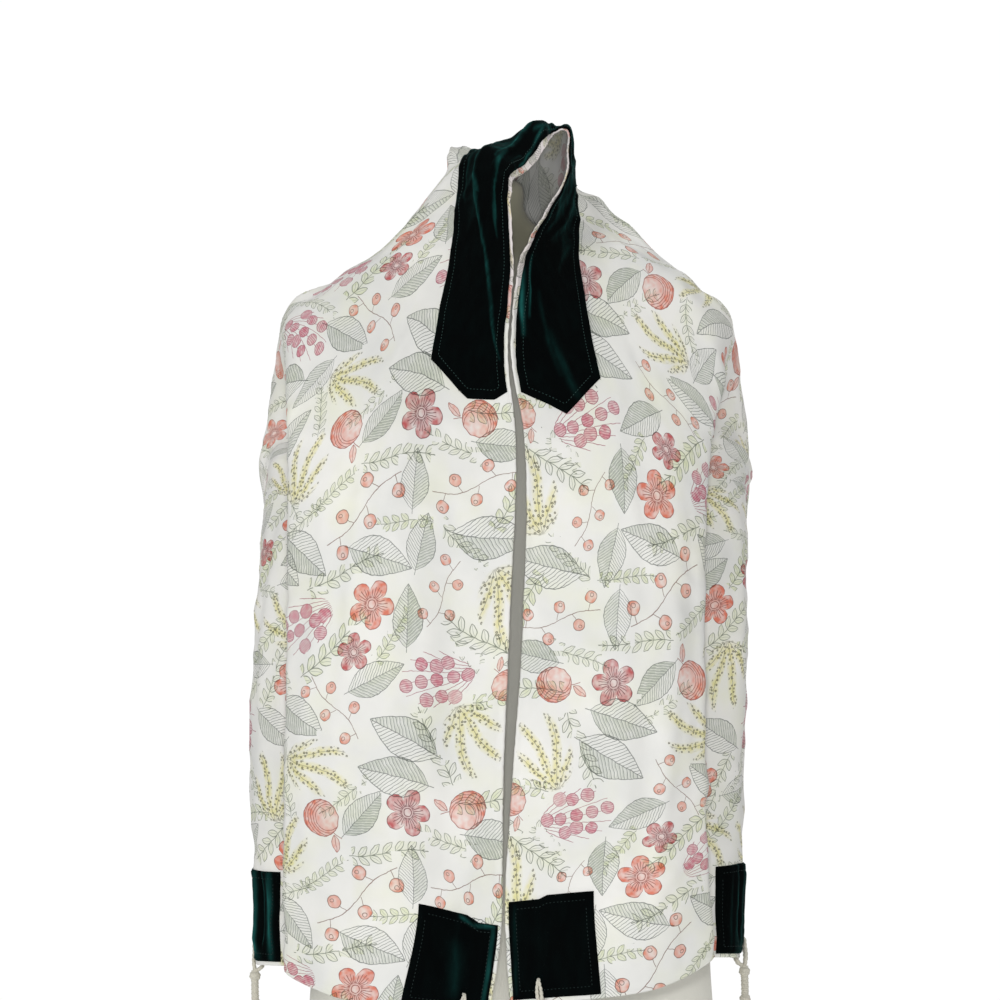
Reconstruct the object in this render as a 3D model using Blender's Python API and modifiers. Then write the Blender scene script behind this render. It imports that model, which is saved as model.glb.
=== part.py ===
"""Tallit prayer shawl, a printed silk rectangle worn like a cape on a limbless dress form.

Units are metres, +Z is up, the wearer's front faces -Y and the shawl's left panel lies at -X.
The origin is on the floor, under the middle of the object.

The cloth is one rectangle. A point of it is named by two lengths:
  along   distance from the centre of the back, along the rectangle's length, negative on the left
  across  distance from the neck edge, over the rectangle's width
Every piece sewn to the silk is made from the silk's own points, moved out.
"""

import math

import bmesh
import bpy
import numpy as np
from mathutils import Vector

MM = 0.001
GAP = 0.3 * MM

# The cut of the cloth
HALF_LENGTH = 935 * MM
WIDTH = 500 * MM
STRETCH_END = 200 * MM
STRETCH_GAP = 1.0 * MM
SILK_WALL = 1.6 * MM
VELVET_WALL = 2.0 * MM

# The velvet neck band and corners, with their places on the silk
VELVET_WIDTH = 84 * MM
VELVET_INSET = 4 * MM
PATCH_LENGTH = 92 * MM
BAND_END_LIFT = 0.6 * MM

# Each end of the neck band, in mm: how far it reaches, then how much is cut off it at shares of its
# width, from the neck edge outward
BAND_ENDS = {
    -1: (389, ((0.0, 8), (0.16, 0), (0.5, 0), (1.0, 24))),
    1: (405, ((0.0, 24), (0.5, 0), (1.0, 27))),
}

# One tassel hangs from each corner
HOLE_FROM_HEM = 22 * MM
HOLE_FROM_SIDE = 30 * MM
CORD_RADIUS = 2.2 * MM
WOUND_RADIUS = 3.8 * MM
KNOT_RADIUS = 5.6 * MM
WOUND_LENGTH = 100 * MM
KNOTS = 5
STRANDS = 8
STRAND_LENGTH = 190 * MM
STRAND_STEPS = 5
STRAND_SPREAD = 9 * MM
STRAND_RADIUS = 1.3 * MM
STRAND_INSET = 0.35 * MM
HALF_KNOT = 4 * MM
FIRST_KNOT = 12 * MM

# The dress form's stand
BASE_RADIUS = 180 * MM
BASE_HEIGHT = 12 * MM
BASE_BEVEL = 4 * MM
POLE_RADIUS = 14 * MM
POLE_PLACE = (10 * MM, 14 * MM)
SHARP_EDGE = math.radians(50)

# How the cloth hangs, in mm: one row for each section across the cloth.
# along, then the section's points: neck edge, band's outer edge, middle of the shoulder or front,
# ridge where the front folds back, outer edge. Then the depth of the pleat behind the ridge and
# the swell of the side.
SECTIONS = [
    (-935, (-9, -152, 434), (-90, -166, 444), (-148, -158, 454), (-195, -124, 477), (-214, 15, 484), 92, 12),
    (-840, (2, -150, 522), (-73, -163, 537), (-140, -156, 541), (-195, -122, 554), (-215, 16, 575), 91, 13),
    (-757, (3, -146, 624), (-80, -160, 621), (-142, -152, 620), (-196, -120, 622), (-217, 17, 655), 90, 15),
    (-590, (9, -138, 790), (-76, -146, 789), (-138, -140, 788), (-193, -110, 784), (-217, 22, 798), 80, 13),
    (-420, (14, -118, 960), (-70, -108, 966), (-134, -104, 958), (-192, -80, 942), (-214, 36, 888), 66, 2),
    (-340, (7, -98, 1036), (-58, -53, 1054), (-124, -58, 1034), (-194, -48, 1006), (-208, 56, 898), 30, 4),
    (-270, (12, -74, 1106), (-44, -8, 1128), (-116, -8, 1100), (-193, -8, 1061), (-204, 80, 864), -9, 12),
    (-200, (10, -46, 1172), (-39, 17, 1174), (-106, 24, 1128), (-188, 22, 1073), (-184, 112, 832), -2, 4),
    (-150, (13, -28, 1190), (-35, 31, 1206), (-93, 46, 1138), (-166, 60, 1054), (-144, 128, 796), 0, 0),
    (-105, (25, -8, 1198), (-26, 49, 1208), (-76, 68, 1146), (-132, 92, 1046), (-100, 132, 776), 0, 0),
    (-60, (40, 14, 1216), (5, 75, 1199), (-42, 94, 1124), (-72, 112, 1014), (-56, 134, 768), 0, 0),
    (0, (49, 44, 1233), (32, 90, 1180), (16, 104, 1096), (10, 118, 1002), (10, 136, 762), 0, 0),
    (60, (62, 42, 1230), (62, 80, 1176), (90, 98, 1100), (98, 112, 1010), (76, 134, 758), 0, 0),
    (105, (62, 14, 1208), (68, 62, 1180), (108, 74, 1116), (150, 88, 1046), (120, 132, 770), 0, 0),
    (150, (57, -14, 1186), (69, 50, 1183), (115, 46, 1147), (176, 56, 1054), (162, 128, 796), 0, 0),
    (200, (41, -40, 1158), (72, 38, 1159), (126, 30, 1130), (200, 24, 1073), (198, 112, 832), -2, 4),
    (270, (17, -66, 1112), (72, 4, 1118), (136, 0, 1106), (205, -8, 1065), (212, 80, 864), -9, 8),
    (340, (10, -98, 1036), (82, -52, 1050), (143, -58, 1036), (203, -46, 1008), (215, 56, 898), 30, 7),
    (420, (21, -116, 960), (100, -110, 966), (150, -102, 960), (191, -78, 945), (221, 36, 888), 72, 11),
    (590, (20, -136, 790), (102, -146, 789), (148, -138, 787), (185, -110, 784), (218, 22, 800), 90, 18),
    (757, (9, -146, 626), (90, -158, 622), (144, -150, 622), (187, -120, 625), (217, 17, 657), 98, 12),
    (840, (4, -149, 540), (84, -161, 549), (145, -153, 552), (189, -122, 563), (214, 16, 577), 98, 12),
    (935, (8, -152, 447), (91, -164, 453), (146, -156, 463), (194, -124, 490), (212, 15, 486), 98, 11),
]
CURVE_STEPS = 14
BAND_GUIDE = 2
PLEAT_PLACE = 0.30
SIDE_PLACE = 0.62
PLEAT_LEAN = -0.35

# The collar's roll, in mm: along, then how far the cloth stands out from the middle between the neck
# edge and the band's outer edge
ROLLS = [
    (-935, (0, 0, 0)),
    (-340, (0, 0, 0)),
    (-270, (1, -2, 6)),
    (-200, (-2, -2, 13)),
    (-150, (1, 1, 16)),
    (-105, (10, 5, 18)),
    (-60, (10, 1, 34)),
    (0, (6, 0, 29)),
    (60, (2, 0, 34)),
    (105, (2, 0, 14)),
    (150, (1, 0, 6)),
    (200, (1, 0, 5)),
    (270, (1, -1, 3)),
    (340, (0, 0, 1)),
    (935, (0, 0, 0)),
]

# Soft vertical folds, in mm: middle and half width along the cloth, height of the fold, and how far
# across the cloth it starts
FOLDS = [
    (-372, 22, 2, 300),
    (-286, 20, 5, 280),
    (-232, 17, 8, 330),
    (-158, 26, 10, 230),
    (-92, 22, 12, 190),
    (-22, 27, 9, 150),
    (52, 21, 12, 210),
    (112, 25, 8, 240),
    (170, 20, 11, 270),
    (256, 22, 12, 290),
    (344, 25, 9, 300),
]
FOLD_GROWTH = 160 * MM

# How far apart the wall's points are: along the folded back and the straight fronts, and across
FOLDED_STEP = 20.5 * MM
STRAIGHT_STEP = 46 * MM
BAND_END_STEP = 40 * MM
WIDEST_STEP = 15 * MM

# The dress form, in mm: height, half width, half depth, middle in x and in y
FORM_RINGS = [
    (360, 168, 96, 10, 14),
    (366, 177, 103, 10, 14),
    (378, 180, 106, 10, 14),
    (480, 180, 106, 10, 14),
    (600, 171, 101, 10, 14),
    (720, 158, 96, 10, 14),
    (850, 162, 97, 10, 15),
    (950, 167, 94, 10, 17),
    (1015, 170, 82, 10, 22),
    (1045, 166, 66, 10, 26),
    (1066, 152, 52, 10, 29),
    (1086, 136, 42, 9, 31),
    (1104, 112, 37, 7, 31),
    (1120, 90, 33, -1, 30),
    (1134, 62, 30, -4, 28),
    (1148, 34, 29, -2, 22),
    (1162, 24, 28, -2, 17),
    (1178, 23, 27, -2, 16),
    (1186, 20, 24, -2, 16),
    (1190, 14, 18, -2, 16),
]
FORM_SIDES = 32
FORM_SQUARE = 2.3


def new_material(name, colour, roughness, metallic=0.0):
    """A Principled material of one colour."""
    material = bpy.data.materials.new(name)
    material.use_nodes = True
    shader = material.node_tree.nodes["Principled BSDF"]
    shader.inputs["Base Color"].default_value = (*colour, 1.0)
    shader.inputs["Roughness"].default_value = roughness
    shader.inputs["Metallic"].default_value = metallic
    return material


def add_object(name, mesh, material, collection):
    """One named object with its material, in the shawl's collection."""
    thing = bpy.data.objects.new(name, mesh)
    mesh.materials.append(material)
    collection.objects.link(thing)
    return thing


def through_rows(knots, rows, places):
    """Rows read at places between the knots, by a cubic with a smooth slope at every knot."""
    slopes = np.gradient(rows, knots, axis=0)
    cell = np.clip(np.searchsorted(knots, places, side="right") - 1, 0, len(knots) - 2)
    span = knots[cell + 1] - knots[cell]
    t = ((places - knots[cell]) / span)[:, None]
    span = span[:, None]
    start = rows[cell] * (1 + 2 * t) * (1 - t) ** 2 + slopes[cell] * span * t * (1 - t) ** 2
    end = rows[cell + 1] * t * t * (3 - 2 * t) - slopes[cell + 1] * span * t * t * (1 - t)
    return start + end


def ramp(value):
    """Rises smoothly from 0 to 1 while value goes from 0 to 1."""
    value = np.clip(value, 0.0, 1.0)
    return value * value * (3 - 2 * value)


def control_points(along):
    """The eight guide points of each section: an array (sections, 8, 3)."""
    table = np.array([[row[0], *row[1], *row[2], *row[3], *row[4], *row[5], row[6], row[7]]
                      for row in SECTIONS]) * MM
    read = through_rows(table[:, 0], table[:, 1:], along)
    edge, band, middle, ridge, outer = (read[:, i:i + 3] for i in range(0, 15, 3))
    pleat, swell = read[:, 15:16], read[:, 16:17]
    side = np.sign(along)[:, None]
    zero = np.zeros_like(pleat)
    rolls = np.array([[row[0], *row[1]] for row in ROLLS]) * MM
    roll = (edge + band) / 2 + through_rows(rolls[:, 0], rolls[:, 1:], along)
    inward = np.hstack([-side, zero + PLEAT_LEAN, zero]) * pleat
    outward = np.hstack([side, zero, zero]) * swell
    valley = ridge + (outer - ridge) * PLEAT_PLACE + inward
    bulge = ridge + (outer - ridge) * SIDE_PLACE + outward
    return np.stack([edge, roll, band, middle, ridge, valley, bulge, outer], axis=1)


def smooth_sections(points):
    """Each section's guide points joined by a smooth curve, as close points along it."""
    chord = np.linalg.norm(np.diff(points, axis=1), axis=2, keepdims=True)
    rate = np.diff(points, axis=1) / chord
    slope = np.concatenate([
        rate[:, :1],
        (rate[:, 1:] * chord[:, :-1] + rate[:, :-1] * chord[:, 1:]) / (chord[:, 1:] + chord[:, :-1]),
        rate[:, -1:],
    ], axis=1)
    pieces = []
    for t in np.arange(CURVE_STEPS) / CURVE_STEPS:
        start = points[:, :-1] * (1 + 2 * t) * (1 - t) ** 2 + slope[:, :-1] * chord * t * (1 - t) ** 2
        end = points[:, 1:] * t * t * (3 - 2 * t) - slope[:, 1:] * chord * t * t * (1 - t)
        pieces.append(start + end)
    curve = np.stack(pieces, axis=2).reshape(len(points), -1, 3)
    return np.concatenate([curve, points[:, -1:]], axis=1)


def cloth_points(along, across):
    """Points of the silk's outer surface, an array (along, across, 3). The velvet's outer edge lies on
    the section's guide point for it, and the places on either side of it are shared out by length."""
    curves = smooth_sections(control_points(along))
    points = np.empty((len(along), len(across), 3))
    for row, curve in enumerate(curves):
        length = np.concatenate([[0], np.cumsum(np.linalg.norm(np.diff(curve, axis=0), axis=1))])
        stops = [0, length[BAND_GUIDE * CURVE_STEPS], length[-1]]
        place = np.interp(across, [0, VELVET_INSET + VELVET_WIDTH, WIDTH], stops)
        for axis in range(3):
            points[row, :, axis] = np.interp(place, length, curve[:, axis])
    return points + surface_normals(points) * fold_heights(along, across)[:, :, None]


def surface_normals(points):
    """Unit normals of a grid of points, on the side that faces away from the wearer."""
    along_step, across_step = np.gradient(points, axis=(0, 1))
    normal = np.cross(along_step, across_step)
    return normal / np.linalg.norm(normal, axis=2, keepdims=True)


def fold_heights(along, across):
    """How far the soft folds lift the cloth at each point of the grid."""
    height = np.zeros((len(along), len(across)))
    for middle, half_width, rise, start in np.array(FOLDS) * MM:
        ridge = np.exp(-((along - middle) / half_width) ** 2)
        height += rise * ridge[:, None] * ramp((across - start) / FOLD_GROWTH)[None, :]
    return height


def steps_between(stops, longest):
    """Values from the first stop to the last, through every stop, none further apart than longest."""
    values = [stops[0]]
    for start, end in zip(stops, stops[1:]):
        count = max(1, math.ceil((end - start) / longest - 1e-6))
        values += [start + (end - start) * (i + 1) / count for i in range(count)]
    return np.array(values)


def rows_to_hem(side):
    """Where one half of the cloth has its rows of points, from the middle of the back to the hem."""
    reach, cuts = BAND_ENDS[side]
    band_end = reach * MM
    uncut = band_end - max(cut for place, cut in cuts) * MM
    patch_end = HALF_LENGTH - VELVET_INSET
    return np.concatenate([
        steps_between([0, STRETCH_END, uncut], FOLDED_STEP)[:-1],
        steps_between([uncut, band_end], BAND_END_STEP)[:-1],
        steps_between([band_end, patch_end - PATCH_LENGTH, patch_end, HALF_LENGTH], STRAIGHT_STEP),
    ])


def cloth_grid():
    """The places along and across the cloth where the wall has its points."""
    along = np.concatenate([-rows_to_hem(-1)[:0:-1], rows_to_hem(1)])
    velvet_end = VELVET_INSET + VELVET_WIDTH
    across = steps_between([0, VELVET_INSET, velvet_end, WIDTH - velvet_end, WIDTH - VELVET_INSET, WIDTH],
                           WIDEST_STEP)
    return along, across


def velvet_columns(across, start):
    """Which columns of the grid a velvet piece covers."""
    inside = (across >= start - 0.01 * MM) & (across <= start + VELVET_WIDTH + 0.01 * MM)
    return np.where(inside)[0]


def sheet_mesh(name, points):
    """An open surface through a grid of points."""
    rows, columns = points.shape[:2]
    faces = [(r * columns + c, (r + 1) * columns + c, (r + 1) * columns + c + 1, r * columns + c + 1)
             for r in range(rows - 1) for c in range(columns - 1)]
    mesh = bpy.data.meshes.new(name)
    mesh.from_pydata(points.reshape(-1, 3).tolist(), [], faces)
    mesh.shade_smooth()
    return mesh


def add_wall(name, points, wall, grows, material, collection):
    """A sheet with its thickness, which grows inward (-1) or outward (1) from the grid's points."""
    thing = add_object(name, sheet_mesh(name, points), material, collection)
    solid = thing.modifiers.new("wall", "SOLIDIFY")
    solid.thickness = wall
    solid.offset = grows


def add_silk(along, points, material, collection):
    """The silk rectangle, in three stretches: the back with the collar, and the two fronts."""
    nearest = np.abs(np.abs(along) - STRETCH_END)
    left_cut = int(np.argmin(np.where(along < 0, nearest, 1.0)))
    right_cut = int(np.argmin(np.where(along > 0, nearest, 1.0)))
    stretches = (("silk_left_front", points[:left_cut + 1]),
                 ("silk_back", points[left_cut:right_cut + 1]),
                 ("silk_right_front", points[right_cut:]))
    for name, part in stretches:
        part = part.copy()
        if name == "silk_left_front":
            part[-1] = toward(part[-1], part[-2], STRETCH_GAP)
        if name == "silk_right_front":
            part[0] = toward(part[0], part[1], STRETCH_GAP)
        add_wall(name, part, SILK_WALL, -1, material, collection)


def toward(points, others, distance):
    """Points moved by a distance toward their neighbours."""
    step = others - points
    return points + step / np.linalg.norm(step, axis=1, keepdims=True) * distance


def add_band(along, across, points, normals, material, collection):
    """The neck band along the collar, with its two ends cut to their own points."""
    inside = (along >= -BAND_ENDS[-1][0] * MM - 0.01 * MM) & (along <= BAND_ENDS[1][0] * MM + 0.01 * MM)
    columns = velvet_columns(across, VELVET_INSET)
    picked = np.ix_(np.where(inside)[0], columns)
    raised = points[picked] + normals[picked] * GAP
    place = (across[columns] - VELVET_INSET) / VELVET_WIDTH
    for side, end, inner in ((-1, 0, 1), (1, -1, -2)):
        places, cuts = zip(*BAND_ENDS[side][1])
        step = raised[inner] - raised[end]
        reach = np.linalg.norm(step, axis=1)
        share = np.clip(np.interp(place, places, cuts) * MM / reach, 0, 0.97)[:, None]
        raised[end] += step * share + normals[picked][end] * BAND_END_LIFT
    add_wall("neck_band", raised, VELVET_WALL, 1, material, collection)


def add_patches(along, across, points, normals, material, collection):
    """The four velvet corners, two on each end of the rectangle."""
    raised = points + normals * GAP
    last = HALF_LENGTH - VELVET_INSET + 0.01 * MM
    first = last - PATCH_LENGTH - 0.02 * MM
    for name, side in (("left", -1), ("right", 1)):
        rows = np.where((along * side >= first) & (along * side <= last))[0]
        for place, start in (("front", VELVET_INSET), ("side", WIDTH - VELVET_INSET - VELVET_WIDTH)):
            patch = raised[np.ix_(rows, velvet_columns(across, start))]
            add_wall(f"velvet_corner_{name}_{place}", patch, VELVET_WALL, 1, material, collection)


def tassel_profile():
    """The head of a tassel as rows of (distance below the hem, radius): a knot, then wound cord
    between the knots that follow."""
    rows = [(FIRST_KNOT / 2, CORD_RADIUS)]
    spacing = WOUND_LENGTH / (KNOTS - 1)
    for knot in range(KNOTS):
        middle = FIRST_KNOT + knot * spacing
        rows += [(middle - HALF_KNOT, WOUND_RADIUS), (middle, KNOT_RADIUS), (middle + HALF_KNOT, WOUND_RADIUS)]
    return rows


def extrude_ring(mesh, face, centre, axis, radius):
    """The end face drawn out to a new ring round a centre, square to an axis."""
    out = bmesh.ops.extrude_discrete_faces(mesh, faces=[face])["faces"][0]
    middle = out.calc_center_median()
    turn = out.normal.rotation_difference(axis).to_matrix()
    for vert in out.verts:
        spoke = turn @ (vert.co - middle)
        vert.co = centre + spoke.normalized() * radius
    out.normal_update()
    return out


def add_tassel(name, start, hem, drop, material, collection):
    """A tassel: its cord lies on the velvet from the hole to the hem and then hangs; a wound and
    knotted head carries eight loose strands, each drawn out of the head's lower face."""
    mesh = bmesh.new()
    along_cloth = (hem - start).normalized()
    bmesh.ops.create_cone(mesh, cap_ends=True, segments=STRANDS, radius1=CORD_RADIUS, radius2=CORD_RADIUS,
                          depth=CORD_RADIUS)
    bmesh.ops.rotate(mesh, matrix=Vector((0, 0, 1)).rotation_difference(along_cloth).to_matrix(),
                     verts=mesh.verts)
    bmesh.ops.translate(mesh, vec=start, verts=mesh.verts)
    mesh.normal_update()
    face = max(mesh.faces, key=lambda each: each.normal.dot(along_cloth))
    face = extrude_ring(mesh, face, hem, along_cloth.lerp(drop, 0.5).normalized(), CORD_RADIUS)
    for distance, radius in tassel_profile():
        face = extrude_ring(mesh, face, hem + drop * distance, drop, radius)
    end = hem + drop * tassel_profile()[-1][0]
    wedges = bmesh.ops.poke(mesh, faces=[face])["faces"]
    bmesh.ops.inset_individual(mesh, faces=wedges, thickness=STRAND_INSET, use_even_offset=True)
    for index, wedge in enumerate(wedges):
        outward = wedge.calc_center_median() - end
        outward.normalize()
        tip = wedge
        for step in range(1, STRAND_STEPS + 1):
            share = step / STRAND_STEPS
            wave = 1 + 0.25 * math.sin(2.1 * index + 4.0 * share)
            centre = (end + outward * (WOUND_RADIUS / 2 + STRAND_SPREAD * share ** 0.7 * wave)
                      + drop * STRAND_LENGTH * share * (1 - 0.05 * (index % 3)))
            tip = extrude_ring(mesh, tip, centre, drop, STRAND_RADIUS)
    bmesh.ops.recalc_face_normals(mesh, faces=mesh.faces)
    data = bpy.data.meshes.new(name)
    mesh.to_mesh(data)
    mesh.free()
    data.set_sharp_from_angle(angle=SHARP_EDGE)
    add_object(name, data, material, collection)


def add_tassels(material, collection):
    """One tassel at each corner of the cloth."""
    drop = Vector((0, 0, -1))
    lift = GAP + VELVET_WALL + GAP + CORD_RADIUS
    for name, side in (("left", -1), ("right", 1)):
        for place, across in (("front", HOLE_FROM_SIDE), ("side", WIDTH - HOLE_FROM_SIDE)):
            rows = np.sort(side * np.array([HALF_LENGTH - HOLE_FROM_HEM, HALF_LENGTH]))
            columns = across + np.array([-5 * MM, 0.0, 5 * MM])
            points = cloth_points(rows, columns)
            raised = (points + surface_normals(points) * lift)[:, 1]
            hole, hem = (raised[0], raised[1]) if side > 0 else (raised[1], raised[0])
            add_tassel(f"tassel_{name}_{place}", Vector(hole), Vector(hem), drop,
                       material, collection)


def add_form(material, collection):
    """The dress form: a smooth closed body through rounded rings, from its foot to its neck."""
    angle = np.arange(FORM_SIDES) * 2 * math.pi / FORM_SIDES
    points = []
    for height, half_width, half_depth, middle_x, middle_y in np.array(FORM_RINGS) * MM:
        corner = 2 / FORM_SQUARE
        x = np.sign(np.cos(angle)) * np.abs(np.cos(angle)) ** corner * half_width + middle_x
        y = np.sign(np.sin(angle)) * np.abs(np.sin(angle)) ** corner * half_depth + middle_y
        points += np.stack([x, y, np.full_like(x, height)], axis=1).tolist()
    rings = len(FORM_RINGS)
    faces = [(r * FORM_SIDES + i, r * FORM_SIDES + (i + 1) % FORM_SIDES,
              (r + 1) * FORM_SIDES + (i + 1) % FORM_SIDES, (r + 1) * FORM_SIDES + i)
             for r in range(rings - 1) for i in range(FORM_SIDES)]
    faces.append(tuple(reversed(range(FORM_SIDES))))
    faces.append(tuple((rings - 1) * FORM_SIDES + i for i in range(FORM_SIDES)))
    mesh = bpy.data.meshes.new("dress_form")
    mesh.from_pydata(points, [], faces)
    mesh.shade_smooth()
    mesh.set_sharp_from_angle(angle=SHARP_EDGE)
    add_object("dress_form", mesh, material, collection)


def add_turned(name, radius, bottom, top, bevel, place, material, collection):
    """An upright round piece between two heights."""
    bpy.ops.mesh.primitive_cylinder_add(vertices=48, radius=radius, depth=top - bottom,
                                        location=(*place, (top + bottom) / 2))
    thing = bpy.context.object
    thing.name = name
    thing.data.name = name
    thing.data.materials.append(material)
    thing.data.shade_smooth()
    thing.data.set_sharp_from_angle(angle=SHARP_EDGE)
    if bevel:
        edge = thing.modifiers.new("rounded edge", "BEVEL")
        edge.width = bevel
        edge.segments = 3
    for other in list(thing.users_collection):
        other.objects.unlink(thing)
    collection.objects.link(thing)


def main():
    for thing in list(bpy.data.objects):
        bpy.data.objects.remove(thing)
    collection = bpy.data.collections.new("tallit_on_dress_form")
    bpy.context.scene.collection.children.link(collection)
    silk = new_material("printed_silk", (0.86, 0.85, 0.80), 0.45)
    velvet = new_material("green_velvet", (0.004, 0.020, 0.020), 0.85)
    wool = new_material("ivory_wool", (0.66, 0.60, 0.48), 0.8)
    linen = new_material("form_linen", (0.39, 0.40, 0.33), 0.9)
    steel = new_material("steel", (0.55, 0.55, 0.56), 0.3, 1.0)

    along, across = cloth_grid()
    points = cloth_points(along, across)
    normals = surface_normals(points)
    add_silk(along, points, silk, collection)
    add_band(along, across, points, normals, velvet, collection)
    add_patches(along, across, points, normals, velvet, collection)
    add_tassels(wool, collection)

    foot = FORM_RINGS[0][0] * MM
    add_form(linen, collection)
    add_turned("pole", POLE_RADIUS, BASE_HEIGHT + GAP, foot - GAP, 0, POLE_PLACE, steel,
               collection)
    add_turned("base", BASE_RADIUS, 0, BASE_HEIGHT, BASE_BEVEL, (0, 0), steel, collection)


main()
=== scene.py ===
"""Tallit prayer shawl on a dress form: the finished cloth, velvet, fringe and form, with their materials.

Lengths in the tables are millimetres. A point of the cloth is named by two lengths, as in the frame's
source: along, from the middle of the back, negative on the left panel, and across, from the neck edge.
"""

import math

import bpy
import numpy as np
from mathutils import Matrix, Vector


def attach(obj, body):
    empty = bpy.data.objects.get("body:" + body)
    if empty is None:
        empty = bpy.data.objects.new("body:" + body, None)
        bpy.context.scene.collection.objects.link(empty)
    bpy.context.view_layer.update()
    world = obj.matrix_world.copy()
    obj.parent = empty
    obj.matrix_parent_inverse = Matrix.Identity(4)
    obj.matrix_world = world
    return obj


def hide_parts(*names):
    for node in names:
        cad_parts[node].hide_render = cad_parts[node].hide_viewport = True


MM = 0.001
GAP = 0.3 * MM

# The cut of the cloth
HALF_LENGTH = 935 * MM
WIDTH = 500 * MM
SILK_WALL = 0.5 * MM
HEM_WIDTH = 4 * MM
HEM_SWELL = 0.7 * MM
HEM_PUCKER = 0.9 * MM
PUCKER_REACH = 3.5 * MM
SILK_STEP = 4.6 * MM
SILK_THREAD = 0.7 * MM
HEM_STEPS = (0, 1.3, 2.7, 4.0)
WORN_REACH = 330 * MM
WORN_PUCKER = 0.9

# The velvet pieces
VELVET_WIDTH = 84 * MM
VELVET_INSET = 4 * MM
PATCH_LENGTH = 92 * MM
VELVET_WALL = 1.8 * MM
VELVET_ROUNDING = 1.6 * MM
VELVET_STEP = 2.2 * MM
STITCH_INSET = 7.5 * MM
GROOVE_DEPTH = 0.55 * MM
GROOVE_WIDTH = 1.0 * MM
PILE_FOOT = 0.25 * MM
BAND_COLUMNS = 45
BAND_SLANT = 0.93
CORNER_GRID = (46, 43)
CORNER_LINE_STOP = 4 * MM
STITCH_PITCH = 3.4 * MM
STITCH_LENGTH = 2.7 * MM
STITCH_RADIUS = 0.3 * MM
STITCH_RINGS = 5
STITCH_SIDES = 6
EYELET_RADIUS = 2.9 * MM
EYELET_THICKNESS = 0.8 * MM
EYELET_STEPS = 48
EYELET_SIDES = 10
BAND_ENDS = {
    -1: (389, ((0.0, 8), (0.16, 0), (0.5, 0), (1.0, 24))),
    1: (405, ((0.0, 24), (0.5, 0), (1.0, 27))),
}

# How much further back the band's inner edge lies along the neck: along, set back
BAND_SETBACKS = [
    (-404, 0),
    (-230, 0.5),
    (-185, 1),
    (-140, 3.5),
    (-95, 6),
    (-60, 6.5),
    (-32, 4),
    (-8, 1),
    (40, 0),
    (90, 1.5),
    (150, 3),
    (270, 3),
    (330, 1),
    (404, 0),
]

# How far a corner's upper edge stops short of its cut: places across from the inset, set back
CORNER_CUTS = {
    (-1, "front"): ((0, 20, 32, 50, 84), (5, 5.5, 0.5, 0, 0)),
    (1, "front"): ((0, 30, 38, 60, 84), (2.2, 2.4, -0.6, 0, 0.6)),
    (-1, "side"): ((0, 30, 55, 84), (0, 1.4, 0.4, 1.2)),
    (1, "side"): ((0, 26, 60, 84), (1, 0, 1.5, 0.3)),
}

# The fringe at each corner
HOLE_FROM_HEM = 22 * MM
HOLE_FROM_SIDE = 30 * MM
CORD_RADIUS = 2.2 * MM
WOUND_RADIUS = 3.8 * MM
KNOT_RADIUS = 5.6 * MM
WOUND_LENGTH = 100 * MM
KNOTS = 5
FIRST_KNOT = 12 * MM
STRANDS = 8
STRAND_LENGTH = 190 * MM
STRAND_SPREAD = 9 * MM
STRAND_RADIUS = 1.25 * MM
STRAND_TWIST = 4.2 * MM
STRAND_STEPS = 110
CORD_SPREAD = 1.55 * MM
CORD_STEPS = 60
HEAD_STEPS = 300
COIL_PITCH = 1.9 * MM
KNOT_HALF = 5 * MM
DOWN = np.array([0, 0, -1.0])

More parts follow.
